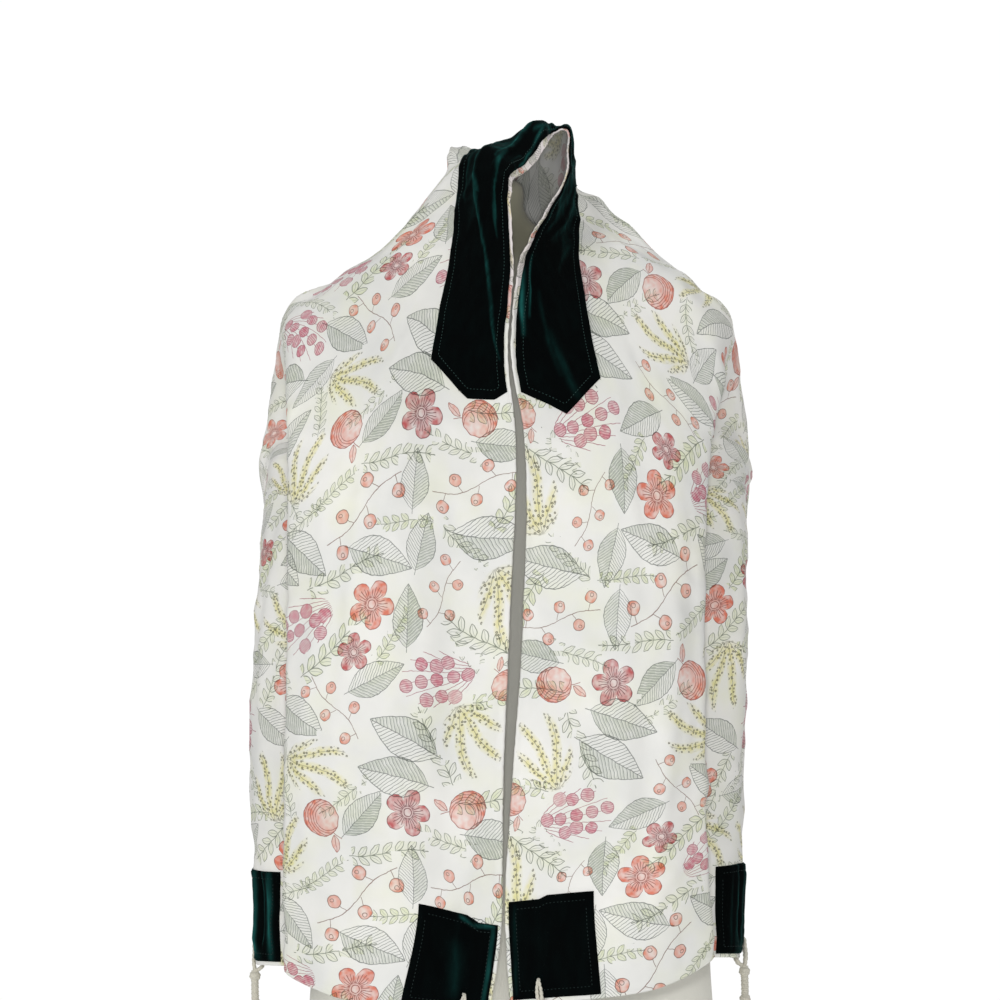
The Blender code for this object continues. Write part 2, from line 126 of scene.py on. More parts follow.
# How the cloth hangs: along, then neck edge, band's outer edge, middle, ridge and outer edge of that
# section, the depth of the pleat behind the ridge and the swell of the side
SECTIONS = [
    (-935, (-9, -152, 434), (-90, -166, 444), (-148, -158, 454), (-195, -124, 477), (-214, 15, 484), 92, 12),
    (-840, (2, -150, 522), (-73, -163, 537), (-140, -156, 541), (-195, -122, 554), (-215, 16, 575), 91, 13),
    (-757, (3, -146, 624), (-80, -160, 621), (-142, -152, 620), (-196, -120, 622), (-217, 17, 655), 90, 15),
    (-590, (9, -138, 790), (-76, -146, 789), (-138, -140, 788), (-193, -110, 784), (-217, 22, 798), 80, 13),
    (-420, (14, -118, 960), (-70, -108, 966), (-134, -104, 958), (-192, -80, 942), (-214, 36, 888), 66, 2),
    (-340, (7, -98, 1036), (-58, -53, 1054), (-124, -58, 1034), (-194, -48, 1006), (-208, 56, 898), 30, 4),
    (-270, (12, -74, 1106), (-44, -8, 1128), (-116, -8, 1100), (-193, -8, 1061), (-204, 80, 864), -9, 12),
    (-200, (10, -46, 1172), (-39, 17, 1174), (-106, 24, 1128), (-188, 22, 1073), (-184, 112, 832), -2, 4),
    (-150, (13, -28, 1190), (-35, 31, 1206), (-93, 46, 1138), (-166, 60, 1054), (-144, 128, 796), 0, 0),
    (-105, (25, -8, 1198), (-26, 49, 1208), (-76, 68, 1146), (-132, 92, 1046), (-100, 132, 776), 0, 0),
    (-60, (40, 14, 1216), (5, 75, 1199), (-42, 94, 1124), (-72, 112, 1014), (-56, 134, 768), 0, 0),
    (0, (49, 44, 1233), (32, 90, 1180), (16, 104, 1096), (10, 118, 1002), (10, 136, 762), 0, 0),
    (60, (62, 42, 1230), (62, 80, 1176), (90, 98, 1100), (98, 112, 1010), (76, 134, 758), 0, 0),
    (105, (62, 14, 1208), (68, 62, 1180), (108, 74, 1116), (150, 88, 1046), (120, 132, 770), 0, 0),
    (150, (57, -14, 1186), (69, 50, 1183), (115, 46, 1147), (176, 56, 1054), (162, 128, 796), 0, 0),
    (200, (41, -40, 1158), (72, 38, 1159), (126, 30, 1130), (200, 24, 1073), (198, 112, 832), -2, 4),
    (270, (17, -66, 1112), (72, 4, 1118), (136, 0, 1106), (205, -8, 1065), (212, 80, 864), -9, 8),
    (340, (10, -98, 1036), (82, -52, 1050), (143, -58, 1036), (203, -46, 1008), (215, 56, 898), 30, 7),
    (420, (21, -116, 960), (100, -110, 966), (150, -102, 960), (191, -78, 945), (221, 36, 888), 72, 11),
    (590, (20, -136, 790), (102, -146, 789), (148, -138, 787), (185, -110, 784), (218, 22, 800), 90, 18),
    (757, (9, -146, 626), (90, -158, 622), (144, -150, 622), (187, -120, 625), (217, 17, 657), 98, 12),
    (840, (4, -149, 540), (84, -161, 549), (145, -153, 552), (189, -122, 563), (214, 16, 577), 98, 12),
    (935, (8, -152, 447), (91, -164, 453), (146, -156, 463), (194, -124, 490), (212, 15, 486), 98, 11),
]
CURVE_STEPS = 40
BAND_GUIDE = 2
PLEAT_PLACE = 0.30
SIDE_PLACE = 0.62
PLEAT_LEAN = -0.35

# The collar's roll, in mm: along, then how far the cloth stands out from the middle between the neck
# edge and the band's outer edge
ROLLS = [
    (-935, (0, 0, 0)),
    (-340, (0, 0, 0)),
    (-270, (1, -2, 6)),
    (-200, (-2, -2, 13)),
    (-150, (1, 1, 16)),
    (-105, (10, 5, 18)),
    (-60, (10, 1, 34)),
    (0, (6, 0, 29)),
    (60, (2, 0, 34)),
    (105, (2, 0, 14)),
    (150, (1, 0, 6)),
    (200, (1, 0, 5)),
    (270, (1, -1, 3)),
    (340, (0, 0, 1)),
    (935, (0, 0, 0)),
]

# Soft folds down the back and sides: middle and half width along the cloth, height, start across
FOLDS = [
    (-372, 22, 2, 300),
    (-286, 20, 5, 280),
    (-232, 17, 8, 330),
    (-158, 26, 10, 230),
    (-92, 22, 12, 190),
    (-22, 27, 9, 150),
    (52, 21, 12, 210),
    (112, 25, 8, 240),
    (170, 20, 11, 270),
    (256, 22, 12, 290),
    (344, 25, 9, 300),
]
FOLD_GROWTH = 160 * MM

# Creases and puckers pressed or draped into the cloth: start (along, across), end (along, across),
# half width, height; a height below zero is a hollow
CREASES = [
    # gathers of the velvet on the left of the neck
    (-48, 40, -150, 34, 3.4, 2.6),
    (-64, 58, -176, 56, 4.4, 2.4),
    (-126, 34, -250, 22, 3.6, 2.2),
    (-152, 60, -226, 46, 3.2, 2.2),
    (-96, 18, -150, 12, 3.4, 1.8),
    (-110, 76, -236, 74, 4.0, -1.6),
    (-196, 52, -270, 42, 3.0, 1.6),
    (-250, 43, -352, 8, 3.2, 1.4),
    (-150, 34, -300, 20, 5.0, -1.2),
    # the right edge of the neck and the right band
    (254, 11, 326, 13, 4.2, 2.4),
    (262, 22, 352, 24, 4.5, -1.4),
    (300, 44, 398, 56, 6.0, 1.2),
    (140, 60, 250, 52, 6.0, 1.4),
    (30, 20, 130, 26, 5.0, 1.2),
    # silk that stands up behind the collar, the collar's top, and the hollows inside the two shoulders
    (-142, 94, -64, 94, 6.5, 15.0),
    (-128, 96, -76, 93, 6, 6.0),
    (102, 106, 188, 106, 10, 6.5),
    (6, 8, 6, 66, 13, 4.5),
    (-156, 226, -272, 226, 16, -6.5),
    (160, 214, 285, 216, 15, -6.0),
    # pressed lines across the two fronts
    (-778, 104, -780, 152, 1.6, 0.8),
    (-776, 20, -779, 60, 1.8, 0.5),
    (811, 30, 819, 104, 1.6, 0.8),
    (819, 104, 822, 170, 1.8, 0.7),
    (640, 60, 644, 150, 1.8, 0.4),
    (-600, 70, -604, 170, 1.8, 0.4),
    # puckers at the slit
    (-741, 3, -748, 32, 2.6, 1.3),
    (-749, 4, -754, 26, 2.2, -1.0),
    (742, 3, 750, 28, 2.6, 1.3),
    (734, 4, 738, 22, 2.2, -0.9),
    (-842, 60, -833, 92, 3.2, 1.6),
    (-846, 30, -830, 50, 3.0, -1.2),
    (838, 20, 828, 58, 3.2, 1.3),
    # soft drape of the left front
    (-360, 96, -560, 128, 12, 2.2),
    (-400, 150, -700, 176, 9, -2.4),
    (-470, 60, -900, 52, 16, -2.2),
    (-520, 112, -920, 108, 14, 2.4),
    (-640, 148, -930, 152, 10, -1.9),
    (-420, 186, -880, 192, 7, 1.6),
    (-420, 24, -620, 30, 10, 1.4),
    # soft drape of the right front
    (372, 92, 560, 112, 12, 2.0),
    (410, 124, 900, 122, 14, -2.6),
    (480, 150, 925, 150, 9, 2.4),
    (430, 44, 880, 60, 18, 2.0),
    (560, 88, 930, 92, 12, -1.8),
    (430, 172, 800, 176, 7, -1.4),
    (420, 20, 600, 24, 9, -1.2),
    # from the band to the shoulders
    (-150, 96, -206, 178, 9, 1.8),
    (-196, 98, -262, 176, 10, 2.0),
    (-238, 100, -322, 168, 10, -1.8),
    (-300, 98, -392, 146, 10, 2.2),
    (150, 98, 196, 180, 9, 1.6),
    (204, 98, 268, 180, 10, 2.0),
    (244, 100, 330, 174, 10, -1.8),
    (310, 100, 410, 150, 11, 2.2),
    # the sides, behind the ridge
    (-430, 300, -830, 322, 8, 3.0),
    (-500, 352, -900, 350, 10, -3.4),
    (-560, 400, -860, 396, 8, 3.2),
    (-420, 432, -760, 440, 7, -2.6),
    (-640, 462, -880, 456, 6, 2.4),
    (440, 296, 780, 312, 8, 2.8),
    (460, 356, 800, 352, 9, 6.0),
    (500, 388, 860, 384, 8, -4.2),
    (440, 430, 700, 424, 8, 3.0),
    (620, 466, 900, 460, 6, 2.2),
    # pleats of the velvet corners at the sides
    (-826, 424, -934, 420, 3.2, 2.2),
    (-822, 437, -934, 434, 3.0, -2.4),
    (-812, 449, -934, 450, 3.2, 2.6),
    (-830, 463, -934, 466, 3.0, -2.2),
    (-824, 478, -934, 482, 3.4, 2.0),
    (826, 428, 934, 426, 3.4, 2.0),
    (816, 446, 934, 446, 3.6, -2.2),
    (828, 462, 934, 466, 3.2, 2.2),
    (822, 480, 934, 480, 3.4, -1.6),
    # the back
    (-130, 120, -150, 250, 9, 2.0),
    (-60, 110, -66, 240, 10, -2.2),
    (10, 112, 16, 260, 10, 2.2),
    (84, 118, 98, 250, 9, -2.0),
    (146, 124, 160, 250, 9, 2.0),
    (-200, 236, -190, 420, 8, -2.4),
    (-118, 300, -126, 480, 8, 2.2),
    (24, 300, 18, 490, 9, -2.4),
    (84, 300, 80, 480, 8, 2.2),
    (212, 240, 214, 440, 8, -2.4),
]

# The cloth's fine crumple, waves over all of it: direction in degrees, wave length, height
CRUMPLES = [
    (11, 47, 0.74),
    (74, 63, 0.90),
    (128, 36, 0.40),
    (44, 26, 0.24),
    (99, 92, 1.30),
    (163, 31, 0.28),
]

# The dress form: height, half width, half depth, middle in x and in y
FORM_RINGS = [
    (360, 168, 96, 10, 14),
    (366, 177, 103, 10, 14),
    (378, 180, 106, 10, 14),
    (480, 180, 106, 10, 14),
    (600, 171, 101, 10, 14),
    (720, 158, 96, 10, 14),
    (850, 162, 97, 10, 15),
    (950, 167, 94, 10, 17),
    (1015, 170, 82, 10, 22),
    (1045, 166, 66, 10, 26),
    (1066, 152, 52, 10, 29),
    (1086, 136, 42, 9, 31),
    (1104, 112, 37, 7, 31),
    (1120, 90, 33, -1, 30),
    (1134, 62, 30, -4, 28),
    (1148, 34, 29, -2, 22),
    (1162, 24, 28, -2, 17),
    (1178, 23, 27, -2, 16),
    (1186, 20, 24, -2, 16),
    (1190, 14, 18, -2, 16),
]
FORM_SIDES = 128
FORM_SQUARE = 2.3
FORM_STEP = 5 * MM
FORM_CAP = (0.03, 0.35, 0.7, 0.93)
JERSEY_THREAD = 1.6 * MM

FLOOR_REACH = 5.0
SENSOR = 36
LENS = 960
CAMERA_PLACE = (0, -24.08, 0.90)

# The studio's lights: name, place, the point they face, size, watts
LIGHTS = [
    ("front", (0.0, -6.0, 1.05), (0, 0, 0.85), 0.4, 84),
    ("key", (-2.6, -3.2, 2.7), (0, 0, 1.05), 1.4, 50),
    ("fill", (2.8, -2.6, 1.4), (0, 0, 0.8), 2.2, 10),
    ("top", (0.2, 0.6, 3.4), (0, 0, 1.0), 2.0, 14),
    ("rear", (0.6, 3.8, 1.9), (0, 0, 0.8), 2.0, 26),
]

# The print: kind, half length and half width of its drawing, how many in one repeat
PRINT_REPEAT = 350
LEAF, BLOSSOM, FRUIT, BRANCH, CLUSTER, SPRAY, SPRIG, POPPY = range(1, 9)
MOTIFS = [
    (CLUSTER, 44, 34, 4),
    (BLOSSOM, 22, 22, 5),
    (POPPY, 20, 20, 3),
    (FRUIT, 28, 20, 6),
    (BRANCH, 46, 23, 6),
    (SPRAY, 43, 31, 8),
    (LEAF, 36, 18, 29),
    (SPRIG, 38, 12, 42),
]
PRINT_LAYERS = 2
PRINT_SEED = 11
TRIALS = 140
PRINT_STEP = 5
ROUND_MOTIFS = (BLOSSOM, POPPY, FRUIT, CLUSTER, SPRAY, LEAF)


def ramp(value):
    """Rises smoothly from 0 to 1 while value goes from 0 to 1."""
    value = np.clip(value, 0.0, 1.0)
    return value * value * (3 - 2 * value)


def ripple(value, phase=0.0):
    """An uneven wave between about -1 and 1: a sum of three sines whose lengths share no measure."""
    return (np.sin(value + phase) + 0.6 * np.sin(2.37 * value + 2.1 * phase)
            + 0.4 * np.sin(4.91 * value + 0.7 + phase)) / 2


def hermite(t, span, first, last, first_slope, last_slope):
    """A cubic from first to last over a span, with the given slopes, at shares t of the span."""
    start = first * (1 + 2 * t) * (1 - t) ** 2 + first_slope * span * t * (1 - t) ** 2
    end = last * t * t * (3 - 2 * t) - last_slope * span * t * t * (1 - t)
    return start + end


def through_rows(knots, rows, places):
    """Rows read at places between the knots, by a cubic with a smooth slope at every knot."""
    slopes = np.gradient(rows, knots, axis=0)
    cell = np.clip(np.searchsorted(knots, places, side="right") - 1, 0, len(knots) - 2)
    span = knots[cell + 1] - knots[cell]
    t = ((places - knots[cell]) / span)[:, None]
    return hermite(t, span[:, None], rows[cell], rows[cell + 1], slopes[cell], slopes[cell + 1])


def in_metres(table):
    """A table's rows as plain rows of metres."""
    return np.array([np.hstack(row) for row in table]) * MM


def unit(vectors):
    """The vectors at a length of one."""
    return vectors / np.linalg.norm(vectors, axis=-1, keepdims=True)


def run_along(points):
    """How far along a line of points each point lies."""
    return np.concatenate([[0], np.linalg.norm(np.diff(points, axis=0), axis=1).cumsum()])


def control_points(along):
    """The eight guide points of each section: an array (sections, 8, 3)."""
    table, rolls = in_metres(SECTIONS), in_metres(ROLLS)
    read = through_rows(table[:, 0], table[:, 1:], along)
    edge, band, middle, ridge, outer = (read[:, i:i + 3] for i in range(0, 15, 3))
    pleat, swell = read[:, 15:16], read[:, 16:17]
    side = np.sign(along)[:, None]
    zero = np.zeros_like(pleat)
    roll = (edge + band) / 2 + through_rows(rolls[:, 0], rolls[:, 1:], along)
    inward = np.hstack([-side, zero + PLEAT_LEAN, zero]) * pleat
    outward = np.hstack([side, zero, zero]) * swell
    valley = ridge + (outer - ridge) * PLEAT_PLACE + inward
    bulge = ridge + (outer - ridge) * SIDE_PLACE + outward
    return np.stack([edge, roll, band, middle, ridge, valley, bulge, outer], axis=1)


def smooth_sections(points):
    """Each section's guide points joined by a smooth curve, as close points along it."""
    chord = np.linalg.norm(np.diff(points, axis=1), axis=2, keepdims=True)
    rate = np.diff(points, axis=1) / chord
    before, after = chord[:, :-1], chord[:, 1:]
    inner = (rate[:, 1:] * before + rate[:, :-1] * after) / (after + before)
    slope = np.concatenate([rate[:, :1], inner, rate[:, -1:]], axis=1)
    curve = np.stack([hermite(t, chord, points[:, :-1], points[:, 1:], slope[:, :-1], slope[:, 1:])
                      for t in np.arange(CURVE_STEPS) / CURVE_STEPS], axis=2)
    return np.concatenate([curve.reshape(len(points), -1, 3), points[:, -1:]], axis=1)


def surface_normals(points):
    """Unit normals of a grid of points, on the side that faces away from the wearer."""
    along_step, across_step = np.gradient(points, axis=(0, 1))
    return unit(np.cross(along_step, across_step))


def fold_heights(along, across):
    """How far the soft folds lift the cloth: a bell across each fold that grows down the back."""
    height = np.zeros((len(along), len(across)))
    for middle, half_width, rise, start in in_metres(FOLDS):
        ridge = np.exp(-((along - middle) / half_width) ** 2)
        height += rise * ridge[:, None] * ramp((across - start) / FOLD_GROWTH)[None, :]
    return height


def crease_heights(along, across):
    """The creases' lift: each is a bell across its own line, waning to nothing at the line's ends."""
    height = np.zeros((len(along), len(across)))
    for u0, v0, u1, v1, half_width, rise in in_metres(CREASES):
        du, dv = u1 - u0, v1 - v0
        length = math.hypot(du, dv)
        u, v = along[:, None] - u0, across[None, :] - v0
        run = (u * du + v * dv) / length ** 2
        aside = (u * dv - v * du) / length
        sway = half_width * 0.5 * np.sin(run * 5.1 + u0 * 40)
        fading = ramp(run / 0.3) * ramp((1 - run) / 0.3)
        height += rise * fading * np.exp(-((aside + sway) / half_width) ** 2)
    return height


def crumple_heights(along, across):
    """The fine crumple: for each wave h sharp(2 pi x / l + 2.2 sin(2 pi y / 2.3 l)), x being the place in
    the wave's direction and y across it, where sharp turns a sine into narrow ridges."""
    height = np.zeros((len(along), len(across)))
    for number, (turn, length, rise) in enumerate(CRUMPLES):
        turn, length, rise = math.radians(turn), length * MM, rise * MM
        x = along[:, None] * math.cos(turn) + across[None, :] * math.sin(turn)
        y = across[None, :] * math.cos(turn) - along[:, None] * math.sin(turn)
        phase = 2 * math.pi * x / length + 2.2 * np.sin(2 * math.pi * y / (2.3 * length) + number)
        patch = 0.55 + 0.45 * np.sin(2 * math.pi * (x + 0.6 * y) / (4.1 * length) + 2 * number)
        height += rise * patch * (1 - 2 * np.abs(np.sin(phase / 2)) ** 0.8)
    return height


TABLE_STEP = 2 * MM
TABLE_ALONG = np.linspace(-HALF_LENGTH, HALF_LENGTH, round(2 * HALF_LENGTH / TABLE_STEP) + 1)
TABLE_ACROSS = np.linspace(0, WIDTH, round(WIDTH / TABLE_STEP) + 1)


def cloth_table():
    """Points of the hanging cloth on a close grid: sections by arc length, then folds, creases, crumple."""
    curves = smooth_sections(control_points(TABLE_ALONG))
    length = np.linalg.norm(np.diff(curves, axis=1), axis=2).cumsum(axis=1)
    length = np.hstack([np.zeros((len(length), 1)), length])
    points = np.empty((len(TABLE_ALONG), len(TABLE_ACROSS), 3))
    for row, curve in enumerate(curves):
        stops = [0, length[row, BAND_GUIDE * CURVE_STEPS], length[row, -1]]
        place = np.interp(TABLE_ACROSS, [0, VELVET_INSET + VELVET_WIDTH, WIDTH], stops)
        for axis in range(3):
            points[row, :, axis] = np.interp(place, length[row], curve[:, axis])
    lift = fold_heights(TABLE_ALONG, TABLE_ACROSS) + crease_heights(TABLE_ALONG, TABLE_ACROSS)
    lift += crumple_heights(TABLE_ALONG, TABLE_ACROSS)
    return points + surface_normals(points) * lift[:, :, None]


def cubic_weights(t):
    """The four weights of a cubic through neighbouring samples, at a share t between the middle two."""
    return (-t / 2 + t ** 2 - t ** 3 / 2, 1 - 2.5 * t ** 2 + 1.5 * t ** 3,
            t / 2 + 2 * t ** 2 - 1.5 * t ** 3, -t ** 2 / 2 + t ** 3 / 2)


def on_cloth(along, across):
    """The cloth's points at any places (along, across), by a cubic in both directions of the table."""
    u = np.clip((along + HALF_LENGTH) / TABLE_STEP, 0, len(TABLE_ALONG) - 1)
    v = np.clip(across / TABLE_STEP, 0, len(TABLE_ACROSS) - 1)
    i = np.clip(np.floor(u).astype(int), 0, len(TABLE_ALONG) - 2)
    j = np.clip(np.floor(v).astype(int), 0, len(TABLE_ACROSS) - 2)
    found = np.zeros((*np.shape(u), 3))
    for a, row_weight in enumerate(cubic_weights(u - i), -1):
        rows = np.clip(i + a, 0, len(TABLE_ALONG) - 1)
        for b, column_weight in enumerate(cubic_weights(v - j), -1):
            columns = np.clip(j + b, 0, len(TABLE_ACROSS) - 1)
            found += CLOTH[rows, columns] * (row_weight * column_weight)[..., None]
    return found


def cloth_frame(along, across):
    """The cloth's points and outward normals at any places."""
    step = 1.5 * MM
    u0, u1 = np.clip(along - step, -HALF_LENGTH, None), np.clip(along + step, None, HALF_LENGTH)
    v0, v1 = np.clip(across - step, 0, None), np.clip(across + step, None, WIDTH)
    normal = np.cross(on_cloth(u1, across) - on_cloth(u0, across),
                      on_cloth(along, v1) - on_cloth(along, v0))
    return on_cloth(along, across), unit(normal)


def grid_faces(rows, columns, wrap=False, start=0):
    """Corner numbers of the quads of a grid of points, row by row."""
    r, c = np.meshgrid(np.arange(rows - 1) * columns, np.arange(columns - (not wrap)), indexing="ij")
    after = (c + 1) % columns
    return np.stack([r + c, r + columns + c, r + columns + after, r + after], axis=-1).reshape(-1, 4) + start


def add_piece(name, points, faces, material, slot):
    """A finished smooth piece from points and faces, riding on the body."""
    mesh = bpy.data.meshes.new(name)
    mesh.from_pydata(np.asarray(points).reshape(-1, 3).tolist(), [], faces)
    mesh.shade_smooth()
    mesh.materials.append(material)
    piece = add_to_scene(name, mesh)
    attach(piece, "root")
    return piece


def shell_faces(rows, columns):
    """Faces of a closed shell whose first grid is the outside and whose second is the inside."""
    outer = grid_faces(rows, columns)
    count = rows * columns
    inner = outer[:, ::-1] + count
    number = np.arange(count).reshape(rows, columns)
    border = np.concatenate([number[0, :-1], number[:-1, -1], number[-1, :0:-1], number[:0:-1, 0]])
    ahead = np.roll(border, -1)
    rim = np.stack([border, ahead, ahead + count, border + count], axis=1)
    return np.concatenate([outer, inner, rim]), len(outer)


def steps_between(stops, longest):
    """Values from the first stop to the last, through every stop, none further apart than longest."""
    values = [np.array(stops[:1])]
    for start, end in zip(stops, stops[1:]):
        count = max(1, math.ceil((end - start) / longest - 1e-6))
        values.append(start + (end - start) * np.arange(1, count + 1) / count)
    return np.concatenate(values)


# Shader arithmetic
class Wire:
    """A number in a shader. Arithmetic on it places Math nodes in the same tree."""

    def __init__(self, tree, socket):
        self.tree, self.socket = tree, socket

    def math(self, operation, *others, clamp=False):
        """The result of a Math node on the number and the others."""
        node = self.tree.nodes.new("ShaderNodeMath")
        node.operation = operation
        node.use_clamp = clamp
        for slot, value in zip(node.inputs, (self, *others)):
            feed(self.tree, slot, value)
        return Wire(self.tree, node.outputs[0])

    def spread(self, gain, base):
        """The number times a gain plus a base, kept between 0 and 1."""
        return self.math("MULTIPLY_ADD", gain, base, clamp=True)

    def __add__(self, other):
        return self.math("ADD", other)

    def __sub__(self, other):
        return self.math("SUBTRACT", other)

    def __rsub__(self, other):
        return self.math("MULTIPLY_ADD", -1.0, other)

    def __mul__(self, other):
        return self.math("MULTIPLY", other)

    def __abs__(self):
        return self.math("ABSOLUTE")

    __rmul__ = __mul__


def feed(tree, slot, value):
    """A socket's value: a wire, an output of another node, or a plain number or colour."""
    if isinstance(value, Wire):
        tree.links.new(value.socket, slot)
    elif isinstance(value, bpy.types.NodeSocket):
        tree.links.new(value, slot)
    else:
        slot.default_value = value


def set_inputs(tree, made, **values):
    """Values on a node's inputs, or wires into them; an input's name has _ for a space."""
    for key, value in values.items():
        feed(tree, made.inputs[key.replace("_", " ")], value)


def node(tree, kind, settings=None, **inputs):
    """A shader node with its settings and inputs."""
    made = tree.nodes.new(f"ShaderNode{kind}")
    for key, value in (settings or {}).items():
        setattr(made, key, value)
    set_inputs(tree, made, **inputs)
    return made


def axes_of(tree, vector):
    """The three parts of a vector."""
    parts = node(tree, "SeparateXYZ", Vector=vector)
    return [Wire(tree, parts.outputs[axis]) for axis in "XYZ"]


def shares_of(tree, colour):
    """The three parts of a colour."""
    parts = node(tree, "SeparateColor", Color=colour)
    return [Wire(tree, parts.outputs[name]) for name in ("Red", "Green", "Blue")]


def noise(tree, place, scale, detail):
    """The strength of a noise at a place."""
    made = node(tree, "TexNoise", Vector=place, Scale=scale, Detail=detail)
    return Wire(tree, made.outputs["Fac"])


def cells_of(tree, x, y, size, randomness):
    """The outputs of a loose honeycomb with cells of one size."""
    place = node(tree, "CombineXYZ", X=x, Y=y).outputs[0]
    return node(tree, "TexVoronoi", {"voronoi_dimensions": "2D"}, Vector=place, Scale=1 / size,
                Randomness=randomness).outputs


def mix(tree, share, first, second, blend="MIX"):
    """Two colours mixed by a share."""
    made = node(tree, "Mix", {"data_type": "RGBA", "blend_type": blend, "clamp_factor": True})
    for slot, value in zip((made.inputs[0], made.inputs[6], made.inputs[7]), (share, first, second)):
        feed(tree, slot, (*value, 1.0) if isinstance(value, tuple) and len(value) == 3 else value)
    return made.outputs[2]


def length_of(x, y):
    """The distance of a point from the origin."""
    return (x * x + y * y).math("SQRT")


def below(value, limit=0.0, soft=0.16):
    """1 where value is below the limit and 0 above it, with a soft step between."""
    if isinstance(limit, Wire):
        value, limit = value - limit, 0.0
    return value.spread(-1 / soft, limit / soft + 0.5)


def at(value, middle, half_width, soft=0.16):
    """1 where value is within half a width of a middle, and 0 outside it."""
    return below(abs(value - middle), half_width, soft)


def near(value, period):
    """The distance of a value to the nearest multiple of the period."""
    return value.math("PINGPONG", period / 2)


def either(*marks):
    """The strongest of several marks."""
    strongest = marks[0]
    for mark in marks[1:]:
        strongest = strongest.math("MAXIMUM", mark)
    return strongest


def inside_length(share):
    """1 where a share of a half length is within it, with a sharp end."""
    return below(abs(share), 1.0, 0.02)


# The print's drawings, each a wash of dye and a drawing in ink; x and y are mm from its middle
def draw_leaf(x, y, seed):
    """A pointed leaf: half width 15.5 (1 - s s)(1.05 - 0.35 s) at a share s of its half length, with
    slanting veins, and a second set of them on one half."""
    s = x * (1 / 33)
    width = (1 - s * s) * (1.05 - s * 0.35) * 15.5
    side = abs(y)
    inside = below(side, width)
    slant = x - side * 0.9
    veins = below(near(slant, 3.7), 0.31) * inside
    hatch = below(near(slant + 1.2, 3.7), 0.22) * inside * below(y, 0.0)
    rim = at(side, width, 0.36) * inside_length(s)
    stem = below(side, 0.32) * at(x, -2.5, 35.5)
    wash = inside * (below(y, 0.0) * 0.5 + seed * 0.5)
    return wash, either(veins, rim, stem, hatch * (seed * 0.7 + 0.2))


def draw_blossom(x, y, seed):
    """An open flower of five petals: its rim is 7.5 + 12.5 times the root of the petals' wave."""
    r = length_of(x, y)
    turn = y.math("ARCTAN2", x)
    rim = abs((turn * 2.5).math("COSINE")).math("SQRT") * 12.5 + 7.5
    inside = below(r, rim)
    edge = at(r, rim, 0.38)
    rays = below(near(turn, 0.2094) * r, 0.3) * below(r, rim * 0.72) * below(-1 * r, -4.6)
    heart = at(r, 3.4, 0.4)
    grains = below(near(turn, 0.6283) * r, 0.6) * at(r, 5.6, 0.7)
    wash = inside * (r * 0.032 + 0.28 + seed * 0.25)
    return wash, either(edge, rays, heart, grains)


def draw_fruit(x, y, seed):
    """A round fruit with shading strokes round a light spot, a stalk and one small leaf."""
    r = length_of(x + 7.0, y * 1.06)
    spot = length_of(x + 3.0, y - 5.5)
    inside = below(r, 18.0)
    edge = at(r, 18.0, 0.4)
    strokes = below(near(spot, 2.5), 0.32) * inside * below(-1 * spot, -12.0)
    stalk = below(abs(y - (x - 11) * 0.2), 0.4) * at(x, 15.5, 5.0)
    run = ((x - 20) * 0.8 - (y + 6) * 0.6) * (1 / 8.5)
    aside = abs((x - 20) * 0.6 + (y + 6) * 0.8)
    width = (1 - run * run) * 3.6
    blade = below(aside, width)
    rim = at(aside, width, 0.34) * inside_length(run)
    rib = below(aside, 0.26) * inside_length(run)
    wash = either(inside * (spot * 0.03 + 0.2 + seed * 0.2), blade * 0.5)
    return wash, either(edge, strokes, stalk, rim, rib)


def draw_branch(x, y, seed):
    """A waving stem with a round berry on a stalk every 17 mm, on alternate sides."""
    wave = (x * (1 / 13)).math("SINE") * 3.6
    stem = at(y, wave, 0.34) * below(abs(x), 43.0)
    cell = (x * (1 / 17)).math("ROUND")
    side = (cell * math.pi).math("COSINE")
    local = x - cell * 17
    height = (y - (cell * (17 / 13)).math("SINE") * 3.6) * side
    r = length_of(local - 1.6, height - 12.6)
    reach = below(abs(cell), 2.5)
    berry = below(r, 5.8) * reach
    stalk = below(abs(local - 1.6 + (12 - height) * 0.42), 0.32) * at(height, 3.6, 3.4) * reach
    ring = at(r, 5.8, 0.34) * reach
    dimple = below(abs(length_of(local - 2.8, height - 14.4) - 1.7), 0.3) * reach
    return berry * (r * 0.09 + 0.4), either(stem, stalk, ring, dimple)


def draw_cluster(x, y, seed):
    """A bunch of round berries, one in each cell of a loose honeycomb, each with its own stripes."""
    tree = x.tree
    cells = cells_of(tree, x + seed * 700, y, 17.5, 0.38)
    mx, my, _ = axes_of(tree, cells["Position"])
    mx = mx - seed * 700
    turning, swelling, dyeing = shares_of(tree, cells["Color"])
    turn, size = turning * 0.9 + 0.9, swelling * 1.8 + 6.4
    dx, dy = x - mx, y - my
    r = length_of(dx, dy)
    bunch = below(length_of(mx * (1 / 35), my * (1 / 25)), 1.0, 0.02)
    berry = below(r, size) * bunch
    across = dx * turn.math("COSINE") + dy * turn.math("SINE")
    stripes = below(near(across, 2.4), 0.42) * berry
    ring = at(r, size, 0.4) * bunch
    fan = y.math("ARCTAN2", x + 52)
    stalks = below(near(fan, 0.15) * (x + 52), 0.32) * below(length_of(x * (1 / 40), y * (1 / 30)), 1.0, 0.02)
    return berry * (dyeing * 0.35 + 0.6), either(ring, stripes * 0.75, stalks * (1 - berry))


